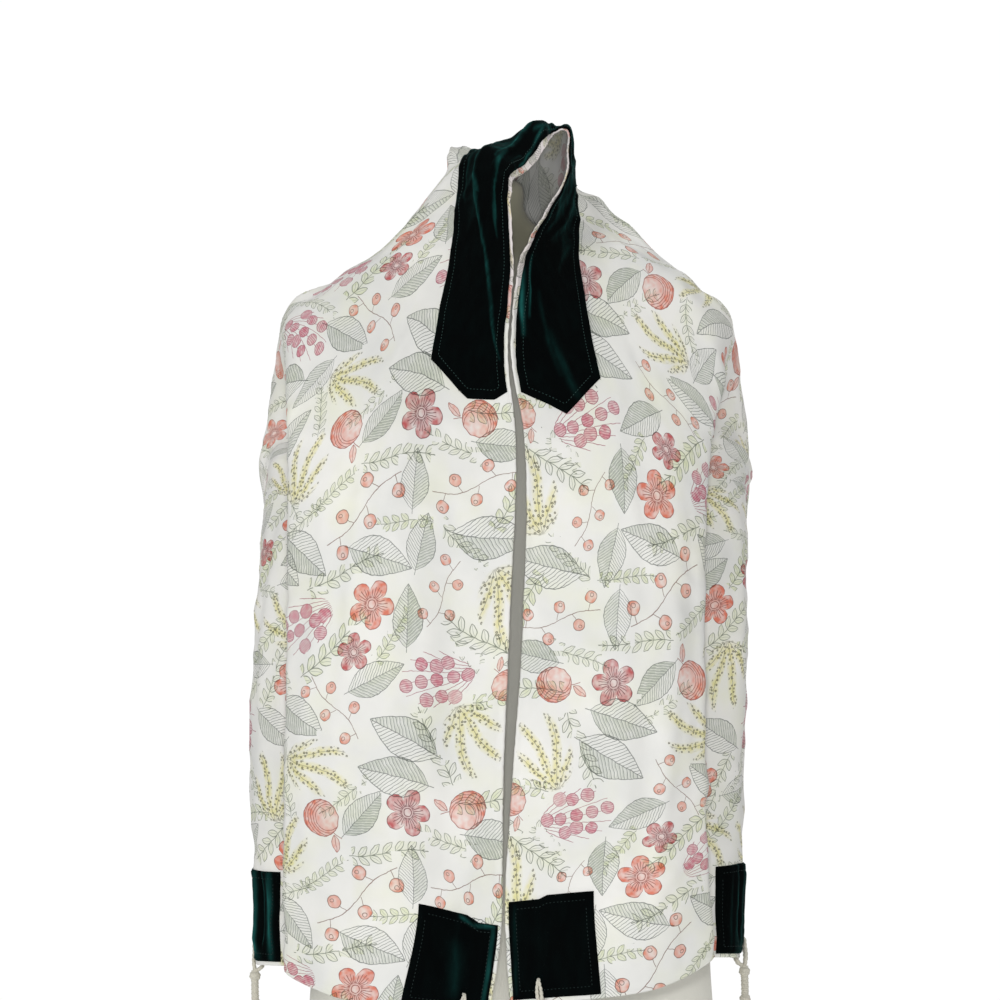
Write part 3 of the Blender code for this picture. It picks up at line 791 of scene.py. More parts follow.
def draw_spray(x, y, seed):
    """Bent arms that fan out from one end, each a stem in a yellow wash with dark seeds on both sides."""
    r = Wire(x.tree, cells_of(x.tree, x + seed * 900, y, 4.8, 0.8)["Distance"]) * 4.8
    reach = length_of(x + 42, y)
    bend = (reach * (1 / 15) + seed * 6).math("SINE") * 0.06
    arm = near(y.math("ARCTAN2", x + 42) + bend + seed * 0.3, 0.42) * reach
    extent = length_of(x * (1 / 41), y * (1 / 29))
    inside = below(extent, 1.0, 0.05)
    stems = below(arm, 0.32) * inside
    seeds = at(r, 0.75, 0.45, 0.3) * below(arm, 4.6, 0.6) * inside
    wash = below(arm, 4.0, 5.0) * below(extent, 0.9, 0.3)
    return wash, either(stems * 0.7, seeds)


def draw_sprig(x, y, seed):
    """A waving stem with a pair of small pointed leaves every 11 mm, drawn in outline."""
    wave = (x * (1 / 16)).math("SINE") * 2.8
    side = abs(y - wave)
    stem = below(side, 0.32) * below(abs(x), 36.0)
    local = x - (x * (1 / 11)).math("ROUND") * 11 + 5.2
    run = local * 0.74 + side * 0.67
    aside = abs(side * 0.74 - local * 0.67)
    bend = (run - 6.2) * (1 / 6.2)
    width = (1 - bend * bend) * (seed * 0.8 + 2.3)
    reach = below(abs(x), 33.0)
    rim = at(aside, width, 0.33) * inside_length(bend) * reach
    rib = below(aside, 0.2) * below(abs(bend), 0.8, 0.02) * reach
    wash = either(below(aside, width) * reach * seed, below(side, 5.0, 8.0) * below(abs(x), 30.0, 16.0) * 0.4)
    return wash, either(stem, rim, rib * 0.6)


DRAWINGS = {LEAF: draw_leaf, BLOSSOM: draw_blossom, FRUIT: draw_fruit, BRANCH: draw_branch,
            CLUSTER: draw_cluster, SPRAY: draw_spray, SPRIG: draw_sprig}
WASHES = {LEAF: (0.72, 0.76, 0.69), BLOSSOM: (0.86, 0.23, 0.15), FRUIT: (0.88, 0.25, 0.16),
          BRANCH: (0.90, 0.32, 0.22), CLUSTER: (0.78, 0.27, 0.35), SPRAY: (0.93, 0.88, 0.50),
          SPRIG: (0.86, 0.90, 0.68), POPPY: (0.62, 0.12, 0.13)}
INKS = {LEAF: (0.13, 0.15, 0.14), BLOSSOM: (0.36, 0.09, 0.07), FRUIT: (0.38, 0.10, 0.08),
        BRANCH: (0.25, 0.14, 0.11), CLUSTER: (0.42, 0.10, 0.16), SPRAY: (0.14, 0.14, 0.09),
        SPRIG: (0.17, 0.20, 0.15), POPPY: (0.20, 0.05, 0.06)}


def new_group(name, inputs, outputs):
    """An empty shader node group with inputs and outputs, each a name with a kind."""
    group = bpy.data.node_groups.new(name, "ShaderNodeTree")
    for way, sockets in (("INPUT", inputs), ("OUTPUT", outputs)):
        for title, kind in sockets.items():
            group.interface.new_socket(title, in_out=way, socket_type=f"NodeSocket{kind}")
    return group, group.nodes.new("NodeGroupInput"), group.nodes.new("NodeGroupOutput")


def colours_by_kind(tree, kind, colours):
    """A colour for each kind of drawing, read from a stepped ramp."""
    made = tree.nodes.new("ShaderNodeValToRGB")
    made.color_ramp.interpolation = "CONSTANT"
    stops = made.color_ramp.elements
    while len(stops) > 1:
        stops.remove(stops[-1])
    stops[0].color = (1, 1, 1, 1)
    for number, colour in sorted(colours.items()):
        stops.new((number - 0.5) / 10).color = (*colour, 1)
    feed(tree, made.inputs[0], kind * 0.1)
    return made.outputs["Color"]


def print_group():
    """One layer of the print: its dye, white where nothing is printed, from a drawing's own place.
    Place holds x and y in mm, and a number whose whole part is the kind of drawing."""
    group, given, result = new_group("printed_drawing", {"Place": "Vector"}, {"Dye": "Color"})
    place = given.outputs["Place"]
    x, y, code = axes_of(group, place)
    kind, seed = code.math("FLOOR"), code.math("FRACT")
    flat = {"noise_dimensions": "2D"}
    wobble = node(group, "TexNoise", flat, Vector=place, Scale=0.16, Detail=1.0)
    sway_x, sway_y, _ = shares_of(group, wobble.outputs["Color"])
    x = x + sway_x * 1.6 - 0.8
    y = y + sway_y * 1.6 - 0.8
    wash, ink = 0.0, 0.0
    for number, draw in DRAWINGS.items():
        chosen = at(kind, number, 0.5, 0.02)
        if number == BLOSSOM:
            chosen = either(chosen, at(kind, POPPY, 0.5, 0.02))
        its_wash, its_ink = draw(x, y, seed)
        wash = its_wash.math("MULTIPLY_ADD", chosen, wash)
        ink = its_ink.math("MULTIPLY_ADD", chosen, ink)
    blot = Wire(group, wobble.outputs["Fac"]).math("MULTIPLY_ADD", 1.5, 0.1)
    dyed = mix(group, wash * blot, (1.0, 1.0, 1.0), colours_by_kind(group, kind, WASHES))
    set_inputs(group, result, Dye=mix(group, ink * 0.88, dyed, colours_by_kind(group, kind, INKS)))
    return group


def weave_group():
    """A plain weave: height from crossed threads, and a slow change of tone, in the cloth's own place."""
    group, given, result = new_group("weave", {"Place": "Vector", "Threads": "Float"},
                                     {"Height": "Float", "Tone": "Float"})
    place = given.outputs["Place"]
    x, y, _ = axes_of(group, place)
    count = Wire(group, given.outputs["Threads"])
    crossed = (x * count).math("SINE") * (y * count).math("SINE")
    set_inputs(group, result, Height=crossed * 0.25 + noise(group, place, 900.0, 2.0),
               Tone=noise(group, place, 9.0, 5.0))
    return group


def new_material(name):
    """A material with a Principled shader; returns the material, its tree and its shader."""
    material = bpy.data.materials.new(name)
    material.use_nodes = True
    return material, material.node_tree, material.node_tree.nodes["Principled BSDF"]


def object_place(tree):
    """The place on an object's own axes."""
    return node(tree, "TexCoord").outputs["Object"]


def squeezed(tree, place, scale):
    """A place with its axes scaled."""
    made = node(tree, "Mapping", Vector=place)
    made.inputs["Scale"].default_value = scale
    return made.outputs[0]


def place_group(tree, group, **inputs):
    """A group placed in a material; returns its outputs."""
    return node(tree, "Group", {"node_tree": group}, **inputs).outputs


def attribute(tree, name, output="Vector"):
    """A named attribute of the mesh."""
    return node(tree, "Attribute", {"attribute_name": name}).outputs[output]


def bump(tree, shader, height, strength, distance):
    """A bump from a height on a shader's normal."""
    made = node(tree, "Bump", Strength=strength, Distance=distance, Height=height)
    set_inputs(tree, shader, Normal=made.outputs["Normal"])


def silk_material(drawing, weave):
    """Printed silk: a warm white ground with stains, mottled with painted shade of small crumples, pinkish
    along the hem at the neck, under layers of transparent dye, and greyer on the cloth's reverse, where
    painted shade darkens it and dulls the print. A place's Z is 1 on the reverse."""
    material, tree, shader = new_material("silk_with_print")
    place = attribute(tree, "cloth_place")
    along, across, reverse = axes_of(tree, place)
    cloth = place_group(tree, weave, Place=place, Threads=2 * math.pi / SILK_THREAD)
    tone = Wire(tree, cloth["Tone"])
    # Mottle between a lit and a shaded white: painted shade of small crumples, in random patches
    colour = mix(tree, tone.spread(2.6, -0.8), (0.87, 0.858, 0.815), (0.73, 0.735, 0.71))
    stained = noise(tree, place, 22.0, 2.0).spread(3.4, -1.6)
    colour = mix(tree, stained * 0.6, colour, (0.80, 0.81, 0.64))
    # Pinkish along the hem at the neck, on its middle part
    neck_hem_pink = below(across, 12 * MM, 4 * MM) * below(abs(along), 0.3, 0.05)
    colour = mix(tree, neck_hem_pink * 0.45, colour, (0.76, 0.62, 0.64))
    for layer in range(PRINT_LAYERS):
        dye = place_group(tree, drawing, Place=attribute(tree, f"print_{layer}"))["Dye"]
        colour = mix(tree, 1.0, colour, dye, "MULTIPLY")
    # The reverse is pulled half way to a dark grey: painted shade for the inside of the collar, which also
    # dulls the print
    reverse_painted_shade = mix(tree, 0.5, colour, (0.38, 0.38, 0.37))
    set_inputs(tree, shader, Base_Color=mix(tree, reverse, colour, reverse_painted_shade), Roughness=tone * 0.12 + 0.42,
               Sheen_Weight=0.18, Sheen_Roughness=0.35, Specular_IOR_Level=0.42, Anisotropic=0.35)
    bump(tree, shader, cloth["Height"], 0.10, 0.0004)
    return material


def velvet_material():
    """Green velvet: near black, with painted teal sheen highlights along the folds and creases and where the
    surface turns away from the camera.
    """
    material, tree, shader = new_material("velvet_pile")
    place = object_place(tree)
    sheen_highlight = Wire(tree, attribute(tree, "painted_sheen_highlight", "Fac"))
    streak = noise(tree, squeezed(tree, place, (1.0, 1.0, 0.3)), 95.0, 4.0).spread(3.2, -1.35)
    # Painted sheen highlight by view angle: teal where the velvet is seen at a grazing angle
    facing = Wire(tree, node(tree, "LayerWeight", Blend=0.5).outputs["Facing"])
    turned = facing.spread(2.2, -1.12)
    # The share of painted teal sheen highlight: strokes along the folds and creases, plus grazing view angles
    painted_sheen_amount = (sheen_highlight * (streak * 0.6 + 0.4) + turned * (streak * 0.42 + 0.05)).math("MINIMUM", 1.0)
    dark = mix(tree, streak, (0.0009, 0.0016, 0.0017), (0.0012, 0.0028, 0.0028))
    # Base colour: near black pile with the painted teal sheen highlight mixed in
    set_inputs(tree, shader, Base_Color=mix(tree, painted_sheen_amount, dark, (0.018, 0.150, 0.136)), Roughness=0.92,
               Specular_IOR_Level=0.03, Sheen_Weight=0.05, Sheen_Roughness=0.25,
               Sheen_Tint=(0.10, 0.42, 0.40, 1.0))
    bump(tree, shader, noise(tree, place, 2600.0, 1.0) + streak * 1.5, 0.35, 0.0006)
    return material


def thread_material(name, colour, weight):
    """Thread: a fibrous mottling between a colour and a darker shade of it, with a soft sheen."""
    material, tree, shader = new_material(name)
    fibre = noise(tree, object_place(tree), 1500.0, 2.0)
    darker = tuple(part * 0.62 for part in colour)
    set_inputs(tree, shader, Base_Color=mix(tree, fibre.spread(2.0, -0.5), darker, colour), Roughness=0.62,
               Sheen_Weight=weight, Sheen_Roughness=0.5, Specular_IOR_Level=0.3)
    bump(tree, shader, fibre, 0.3, 0.0003)
    return material


def form_material(weave):
    """The form's cover: a plain light jersey with fine ribs, darkened at the neck as painted shade inside the
    collar.
    """
    material, tree, shader = new_material("form_jersey")
    place = object_place(tree)
    cloth = place_group(tree, weave, Place=place, Threads=2 * math.pi / JERSEY_THREAD)
    tone = Wire(tree, cloth["Tone"]).spread(1.5, -0.25)
    colour = mix(tree, tone, (0.80, 0.79, 0.71), (0.86, 0.85, 0.77))
    # Painted shade: the form's neck inside the collar, darkened to dark olive from about 1.06 m up
    neck_wear_and_painted_shade = axes_of(tree, place)[2].spread(16.0, -17.0)
    set_inputs(tree, shader, Base_Color=mix(tree, neck_wear_and_painted_shade * 0.9, colour, (0.22, 0.21, 0.14)), Roughness=0.88,
               Sheen_Weight=0.2, Sheen_Roughness=0.6, Specular_IOR_Level=0.2)
    bump(tree, shader, cloth["Height"], 0.22, 0.0006)
    return material


def steel_material(name, squeeze):
    """Brushed steel: streaks drawn out along the brushing, with a few rougher rubs."""
    material, tree, shader = new_material(name)
    place = object_place(tree)
    grain = noise(tree, squeezed(tree, place, squeeze), 160.0, 4.0)
    rough = grain * 0.16 + noise(tree, place, 12.0, 3.0) * 0.18 + 0.12
    set_inputs(tree, shader, Base_Color=mix(tree, grain, (0.46, 0.46, 0.47), (0.62, 0.62, 0.62)),
               Roughness=rough, Metallic=1.0)
    bump(tree, shader, grain, 0.05, 0.0002)
    return material


# The print's layout
def turned(du, dv, angle):
    """A step on the cloth, as seen along and across a drawing turned by an angle."""
    return du * math.cos(angle) + dv * math.sin(angle), dv * math.cos(angle) - du * math.sin(angle)


def lay_out_print():
    """Where each drawing lies in one repeat: rows of (along, across, angle, size, kind, seed, half length,
    half width), in mm. Each is put where it overlaps the others least, out of a number of chances."""
    chance = np.random.default_rng(PRINT_SEED)
    along = (np.arange(PRINT_REPEAT // PRINT_STEP) + 0.5) * PRINT_STEP
    across = (np.arange(round(WIDTH / MM) // PRINT_STEP) + 0.5) * PRINT_STEP
    grid_u, grid_v = np.meshgrid(along, across, indexing="ij")
    taken = np.zeros(grid_u.shape)
    rows = []
    for kind, half_length, half_width, count in MOTIFS:
        for _ in range(count):
            best = None
            for _ in range(TRIALS):
                u, v = chance.uniform(0, PRINT_REPEAT), chance.uniform(-5, WIDTH / MM + 5)
                angle, size = chance.uniform(0, 2 * math.pi), chance.uniform(0.8, 1.2)
                du = (grid_u - u + PRINT_REPEAT / 2) % PRINT_REPEAT - PRINT_REPEAT / 2
                x, y = turned(du, grid_v - v, angle)
                covered = (x / (half_length * size)) ** 2 + (y / (half_width * size)) ** 2 < 1.0
                cost = (taken[covered] ** 4).sum() / max(covered.sum(), 1)
                if best is None or cost < best[0]:
                    best = (cost, covered, u, v, angle, size)
            taken[best[1]] += 1
            rows.append((*best[2:], kind, chance.uniform(0.02, 0.98), half_length, half_width))
    return np.array(rows)


def print_places(corner_u, corner_v):
    """For each face's corners, the place in each layer's drawing: (layers, faces, 4, 3), in mm. A face
    takes a drawing if the drawing's box or oval reaches it, in the first layer still free there."""
    faces = len(corner_u)
    layers = np.zeros((PRINT_LAYERS, faces, 4, 3))
    used = np.zeros(faces, int)
    middle_u, middle_v = corner_u.mean(axis=1), corner_v.mean(axis=1)
    margin = SILK_STEP / MM * 0.8
    most = math.ceil(HALF_LENGTH / MM / PRINT_REPEAT)
    for u, v, angle, size, kind, seed, half_length, half_width in lay_out_print():
        reach = (half_length + half_width) * size
        for repeat in range(-most - 1, most + 1):
            start = u + repeat * PRINT_REPEAT
            close = np.where((np.abs(middle_u - start) < reach) & (np.abs(middle_v - v) < reach))[0]
            x, y = (part / size for part in turned(corner_u[close] - start, corner_v[close] - v, angle))
            a, b = np.abs(x) / (half_length + margin), np.abs(y) / (half_width + margin)
            oval = 2.0 if kind in ROUND_MOTIFS else 6.0
            inside = (a ** oval + b ** oval < 1.0).any(axis=1) & (used[close] < PRINT_LAYERS)
            chosen = close[inside]
            for axis, value in enumerate((x[inside], y[inside], kind + seed)):
                layers[used[chosen], chosen, :, axis] = value
            used[chosen] += 1
    return layers


def set_attribute(mesh, name, kind, domain, values):
    """A named attribute with its values."""
    made = mesh.attributes.new(name, kind, domain)
    field = "vector" if kind == "FLOAT_VECTOR" else "value"
    made.data.foreach_set(field, np.ravel(values).astype(np.float32))


# The silk
def add_silk(material):
    """The silk rectangle, a thin closed shell: the hanging surface outside, the wall's depth inside,
    with a rolled hem that swells and puckers along all four edges, most at the neck."""
    hem = np.array(HEM_STEPS) * MM
    along, across = (np.concatenate([first + hem,
                                     steps_between([first + HEM_WIDTH, last - HEM_WIDTH], SILK_STEP)[1:-1],
                                     last - hem[::-1]])
                     for first, last in ((-HALF_LENGTH, HALF_LENGTH), (0, WIDTH)))
    u, v = np.meshgrid(along, across, indexing="ij")
    from_side = np.minimum(v, WIDTH - v)
    from_end = HALF_LENGTH - np.abs(u)
    edge = np.minimum(from_side, from_end)
    fade = np.exp(-edge / PUCKER_REACH)
    run = np.where(from_side < from_end, u, v) / MM
    # In the silk this is only the extra pucker of the hem near the neck
    neck_wear_and_painted_shade = 1 + WORN_PUCKER * (np.abs(u) < WORN_REACH) * (v < WIDTH / 2)
    toward_middle = HEM_PUCKER * neck_wear_and_painted_shade * (0.5 + 0.5 * ripple(run * 0.52, 1.3)) * fade
    read_v = v + np.where(v < WIDTH / 2, 1, -1) * toward_middle * (from_side <= from_end)
    points, normals = cloth_frame(u, read_v)
    bead = HEM_SWELL * np.sqrt(np.clip(1 - ((edge - HEM_WIDTH / 2) / (HEM_WIDTH / 2)) ** 2, 0, 1))
    lift = HEM_PUCKER * 0.6 * ripple(run * 0.71, 4.0) * fade
    heights = np.stack([bead + lift, lift - bead - SILK_WALL])
    faces, shown = shell_faces(*u.shape)
    shell = points + normals * heights[..., None]
    piece = add_piece("silk_shawl", shell, faces.tolist(), material, "printed_silk")
    flat_u, flat_v = np.tile(u.ravel(), 2), np.tile(v.ravel(), 2)
    side = np.repeat([0.0, 1.0], u.size)
    mesh = piece.data
    set_attribute(mesh, "cloth_place", "FLOAT_VECTOR", "POINT", np.stack([flat_u, flat_v, side], axis=1))
    outer_faces = faces[:shown]
    layers = print_places(flat_u[outer_faces] / MM, flat_v[outer_faces] / MM)
    rims = np.zeros((len(faces) - 2 * shown, 4, 3))
    for number, layer in enumerate(layers):
        values = np.concatenate([layer, layer[:, ::-1], rims])
        set_attribute(mesh, f"print_{number}", "FLOAT_VECTOR", "CORNER", values)
    corners = faces.ravel()
    across_share = (flat_v / WIDTH)[corners] * 0.48 + 0.01 + 0.5 * side[corners]
    along_share = (flat_u / HALF_LENGTH)[corners] * 0.495 + 0.5
    baked = mesh.uv_layers.new(name="OFBake")
    baked.data.foreach_set("uv", np.stack([along_share, across_share], axis=1).ravel().astype(np.float32))
    return piece


# Velvet
def velvet_height(edge):
    """The velvet's height over the silk at distances from its edge: a rounded edge, a flat pile, and a
    groove at the stitches."""
    rounding = np.clip(edge / VELVET_ROUNDING, 0, 1)
    groove = GROOVE_DEPTH * np.exp(-(np.abs(edge - STITCH_INSET) / GROOVE_WIDTH) ** 2)
    return GAP + PILE_FOOT + (VELVET_WALL - PILE_FOOT) * np.sqrt(1 - (1 - rounding) ** 2) - groove


def add_velvet(name, u, v, edge, sheen_strokes, material):
    """A velvet piece over a grid of places (along, across): the pile outside, its backing inside."""
    points, normals = cloth_frame(u, v)
    shell = np.stack([points + normals * velvet_height(edge)[..., None], points + normals * GAP])
    faces, _ = shell_faces(*u.shape)
    piece = add_piece(name, shell, faces.tolist(), material, "green_velvet")
    # Per point, the strength of the painted teal sheen highlight
    set_attribute(piece.data, "painted_sheen_highlight", "FLOAT", "POINT", np.tile(painted_sheen_strokes(u, v, sheen_strokes).ravel(), 2))
    return piece


def painted_sheen_strokes(u, v, table):
    """How strong the painted teal sheen highlight is at each place: soft strokes (along, across, to along, to
    across, half width, strength)."""
    sheen_highlight = np.zeros(u.shape)
    for u0, v0, u1, v1, half_width, strength in table:
        du, dv = (u1 - u0) * MM, (v1 - v0) * MM
        x, y = u - u0 * MM, v - v0 * MM
        length = math.hypot(du, dv)
        run = np.clip((x * du + y * dv) / length ** 2, 0, 1)
        aside = np.hypot(x - run * du, y - run * dv)
        stroke = strength * np.exp(-(aside / (half_width * MM)) ** 2) * (0.4 + 0.6 * np.sin(run * 3.1))
        sheen_highlight = np.maximum(sheen_highlight, stroke)
    return sheen_highlight


# The strokes of painted teal sheen highlight along folds and creases, for the band and for the corners
BAND_SHEEN_STROKES = [
    (-46, 42, -150, 36, 2.0, 0.60),
    (-60, 60, -176, 58, 2.0, 0.50),
    (-51, 22, -83, 16, 2.6, 0.60),
    (-83, 16, -119, 10, 2.2, 0.60),
    (-128, 34, -176, 25, 1.8, 0.60),
    (-174, 25, -248, 23, 1.6, 0.50),
    (-154, 62, -210, 49, 1.7, 0.60),
    (-196, 53, -262, 43, 1.3, 0.50),
    (-255, 44, -305, 25, 1.2, 0.42),
    (-300, 26, -352, 9, 1.2, 0.36),
    (-20, 14, -70, 30, 2.6, 0.50),
    (276, 6, 330, 13, 2.0, 1.00),
    (262, 14, 316, 19, 1.6, 0.60),
    (120, 66, 190, 74, 1.6, 0.45),
    (100, 20, 20, 14, 2.0, 0.40),
    (335, 42, 392, 60, 3.2, 0.14),
    (300, 30, 372, 48, 2.0, 0.12),
    (60, 40, 150, 48, 2.4, 0.22),
]
CORNER_SHEEN_STROKES = [
    (-848, 9, -924, 9, 1.3, 0.85),
    (-846, 8, -848, 30, 1.4, 0.80),
    (-848, 30, -842, 44, 1.5, 0.60),
    (-870, 44, -915, 40, 6.0, 0.14),
    (-842, 424, -928, 422, 2.6, 1.0),
    (-842, 446, -928, 450, 3.4, 0.9),
    (-842, 482, -928, 484, 3.4, 0.8),
    (-900, 462, -926, 440, 4.0, 0.9),
    (860, 430, 926, 428, 1.6, 0.14),
    (846, 10, 926, 8, 1.6, 0.10),
]


def stitch_points(u, v):
    """Small stitches along a line of places: spindles that dip at both ends, (stitches, rings, sides, 3)."""
    points, normals = cloth_frame(u, v)
    points = points + normals * (GAP + VELVET_WALL - GROOVE_DEPTH)
    run = run_along(points)
    count = max(1, int(run[-1] / STITCH_PITCH))
    share = np.linspace(-1, 1, STITCH_RINGS)
    place = (np.arange(count) + 0.5)[:, None] * STITCH_PITCH + share[None, :] * STITCH_LENGTH / 2
    read, up = (np.stack([np.interp(place, run, values[:, axis]) for axis in range(3)], axis=-1)
                for values in (points, normals))
    ahead = unit(np.gradient(read, axis=1))
    aside = np.cross(ahead, up)
    middle = read + up * (0.25 * MM * (1 - 2.2 * share ** 2))[None, :, None]
    angle = np.arange(STITCH_SIDES) * 2 * math.pi / STITCH_SIDES
    thick = STITCH_RADIUS * (1 - 0.7 * share ** 4)
    ring = aside[:, :, None] * np.cos(angle)[:, None] + up[:, :, None] * np.sin(angle)[:, None]
    return middle[:, :, None] + ring * thick[None, :, None, None]


def add_stitching(name, rows, material):
    """All the stitches of one velvet piece, as closed spindles."""
    points = np.concatenate([stitch_points(u, v) for u, v in rows])
    size = STITCH_RINGS * STITCH_SIDES
    starts = np.arange(len(points)) * size
    quads = grid_faces(STITCH_RINGS, STITCH_SIDES, wrap=True)
    faces = (quads[None] + starts[:, None, None]).reshape(-1, 4).tolist()
    for cap in (np.arange(STITCH_SIDES), np.arange(size - 1, size - 1 - STITCH_SIDES, -1)):
        faces += (cap[None] + starts[:, None]).tolist()
    return add_piece(name, points, faces, material, "green_velvet")


def band_end(side, v):
    """How far the neck band reaches along the cloth on one side, at places across it."""
    reach, cuts = BAND_ENDS[side]
    places, lengths = zip(*cuts)
    return side * (reach - np.interp((v - VELVET_INSET) / VELVET_WIDTH, places, lengths)) * MM


def band_setback(u):
    """How far the band's inner edge lies behind the usual inset, at places along it."""
    places, lengths = zip(*BAND_SETBACKS)
    wave = 0.35 + 0.35 * ripple(u / MM * 0.19)
    return (np.interp(u / MM, places, lengths) + wave) * MM


def add_band(material, thread):
    """The neck band, with its two shaped ends, and its stitches inside every edge. Its columns lie
    closer together toward both edges."""
    rows = round((BAND_ENDS[-1][0] + BAND_ENDS[1][0]) * MM / VELVET_STEP)
    gathered = 0.5 - 0.5 * np.cos(np.linspace(0, math.pi, BAND_COLUMNS))
    v = VELVET_INSET + VELVET_WIDTH * gathered * 0.35 + VELVET_WIDTH * np.linspace(0, 1, BAND_COLUMNS) * 0.65
    left, right = band_end(-1, v), band_end(1, v)
    u = left[None, :] + (right - left)[None, :] * np.linspace(0, 1, rows)[:, None]
    inner = VELVET_INSET + band_setback(u)
    outer = VELVET_INSET + VELVET_WIDTH
    v = inner + (outer - inner) * ((v - VELVET_INSET) / VELVET_WIDTH)[None, :]
    from_end = np.minimum(u - left, right - u) * BAND_SLANT
    edge = np.minimum(np.minimum(v - inner, outer - v), from_end)
    piece = add_velvet("velvet_neck_band", u, v, edge, BAND_SHEEN_STROKES, material)
    line_v = np.linspace(VELVET_INSET + STITCH_INSET, outer - STITCH_INSET, 40)
    lines = [(band_end(side, line_v) - side * STITCH_INSET / BAND_SLANT, line_v) for side in (-1, 1)]
    for place in (0, -1):
        line = np.linspace(lines[0][0][place], lines[1][0][place], 400)
        lines.append((line, line_v[place] + (band_setback(line) if place == 0 else 0 * line)))
    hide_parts("neck_band")
    return piece, add_stitching("band_stitching", lines, thread)


def corner_name(side, place):
    """A corner's name: left or right, front or side."""
    return f"{'left' if side < 0 else 'right'}_{place}"


def add_corner(side, place, material, thread):
    """A velvet corner with a line of stitches inside its edges."""
    name = corner_name(side, place)
    first = VELVET_INSET if place == "front" else WIDTH - VELVET_INSET - VELVET_WIDTH
    last = first + VELVET_WIDTH
    last_u = HALF_LENGTH - VELVET_INSET
    rows, columns = CORNER_GRID
    shares, v = np.meshgrid(np.linspace(0, 1, rows), np.linspace(first, last, columns), indexing="ij")
    height = PATCH_LENGTH - np.interp((v - first) / MM, *CORNER_CUTS[side, place]) * MM
    u = last_u - height * (1 - shares) if side > 0 else height * shares - last_u
    from_end = np.minimum(last_u - np.abs(u), np.abs(u) - last_u + height)
    edge = np.minimum(np.minimum(v - first, last - v), from_end)
    piece = add_velvet(f"velvet_{name}", u, v, edge, CORNER_SHEEN_STROKES, material)
    upper = last_u - PATCH_LENGTH + STITCH_INSET
    inner_u = np.linspace(last_u - STITCH_INSET, upper + CORNER_LINE_STOP, 60) * side
    inner_v = np.linspace(first + STITCH_INSET, last - STITCH_INSET, 60)
    upper_u = upper + np.interp((inner_v - first) / MM, *CORNER_CUTS[side, place]) * MM
    lines = [(inner_u, np.full(60, inner_v[0])), (inner_u, np.full(60, inner_v[-1])),
             (np.full(60, inner_u[0]), inner_v), (upper_u * side, inner_v)]
    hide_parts(f"velvet_corner_{name}")
    return piece, add_stitching(f"stitching_{name}", lines, thread)


def hole_across(place):
    """Where across the cloth a corner's hole lies."""
    return HOLE_FROM_SIDE if place == "front" else WIDTH - HOLE_FROM_SIDE


# Fringe
def cord_surface(path, radius, sides=10, lobes=2, pitch=STRAND_TWIST, depth=0.2, phase=0.0):
    """A twisted cord along a path: at a run s and a turn a its radius is r (1 + depth cos(lobes a - 2 pi
    s / pitch + phase)), a grid (path, sides, 3)."""
    ahead = unit(np.gradient(path, axis=0))
    aside = unit(np.cross(ahead, [0.31, 0.95, 0.05]))
    up = np.cross(aside, ahead)
    run = run_along(path)
    angle = np.arange(sides) * 2 * math.pi / sides
    turn = lobes * angle[None, :] - 2 * math.pi * run[:, None] / pitch + phase
    thick = np.broadcast_to(radius, run.shape)[:, None] * (1 + depth * np.cos(turn))
    ring = aside[:, None] * np.cos(angle)[None, :, None] + up[:, None] * np.sin(angle)[None, :, None]
    return path[:, None] + ring * thick[..., None]


def smooth_path(points, count):
    """A smooth line through a few points, sampled evenly in its parameter."""
    points = np.array(points, float)
    run = run_along(points)
    return through_rows(run, points, np.linspace(0, run[-1], count))


def closed_tubes(tubes):
    """Points and faces of several tubes, each closed at both ends."""
    points, faces, start = [], [], 0
    for tube in tubes:
        rows, sides = tube.shape[:2]
        points.append(tube.reshape(-1, 3))
        faces += grid_faces(rows, sides, wrap=True, start=start).tolist()
        faces.append(list(range(start, start + sides)))
        faces.append(list(range(start + rows * sides - 1, start + (rows - 1) * sides - 1, -1)))
        start += rows * sides
    return np.concatenate(points), faces


def head_radius(distance):
    """The wound head's radius at distances below the first knot's middle: coils between knots."""
    spacing = WOUND_LENGTH / (KNOTS - 1)
    from_knot = np.abs(distance - np.round(distance / spacing) * spacing)
    knot = np.sqrt(np.clip(1 - (from_knot / KNOT_HALF) ** 2, 0, 1))
    coil = 0.45 * MM * np.abs(np.sin(math.pi * distance / COIL_PITCH))
    return np.maximum(WOUND_RADIUS - 0.7 * MM + coil, (KNOT_RADIUS - 0.5 * MM) * knot)


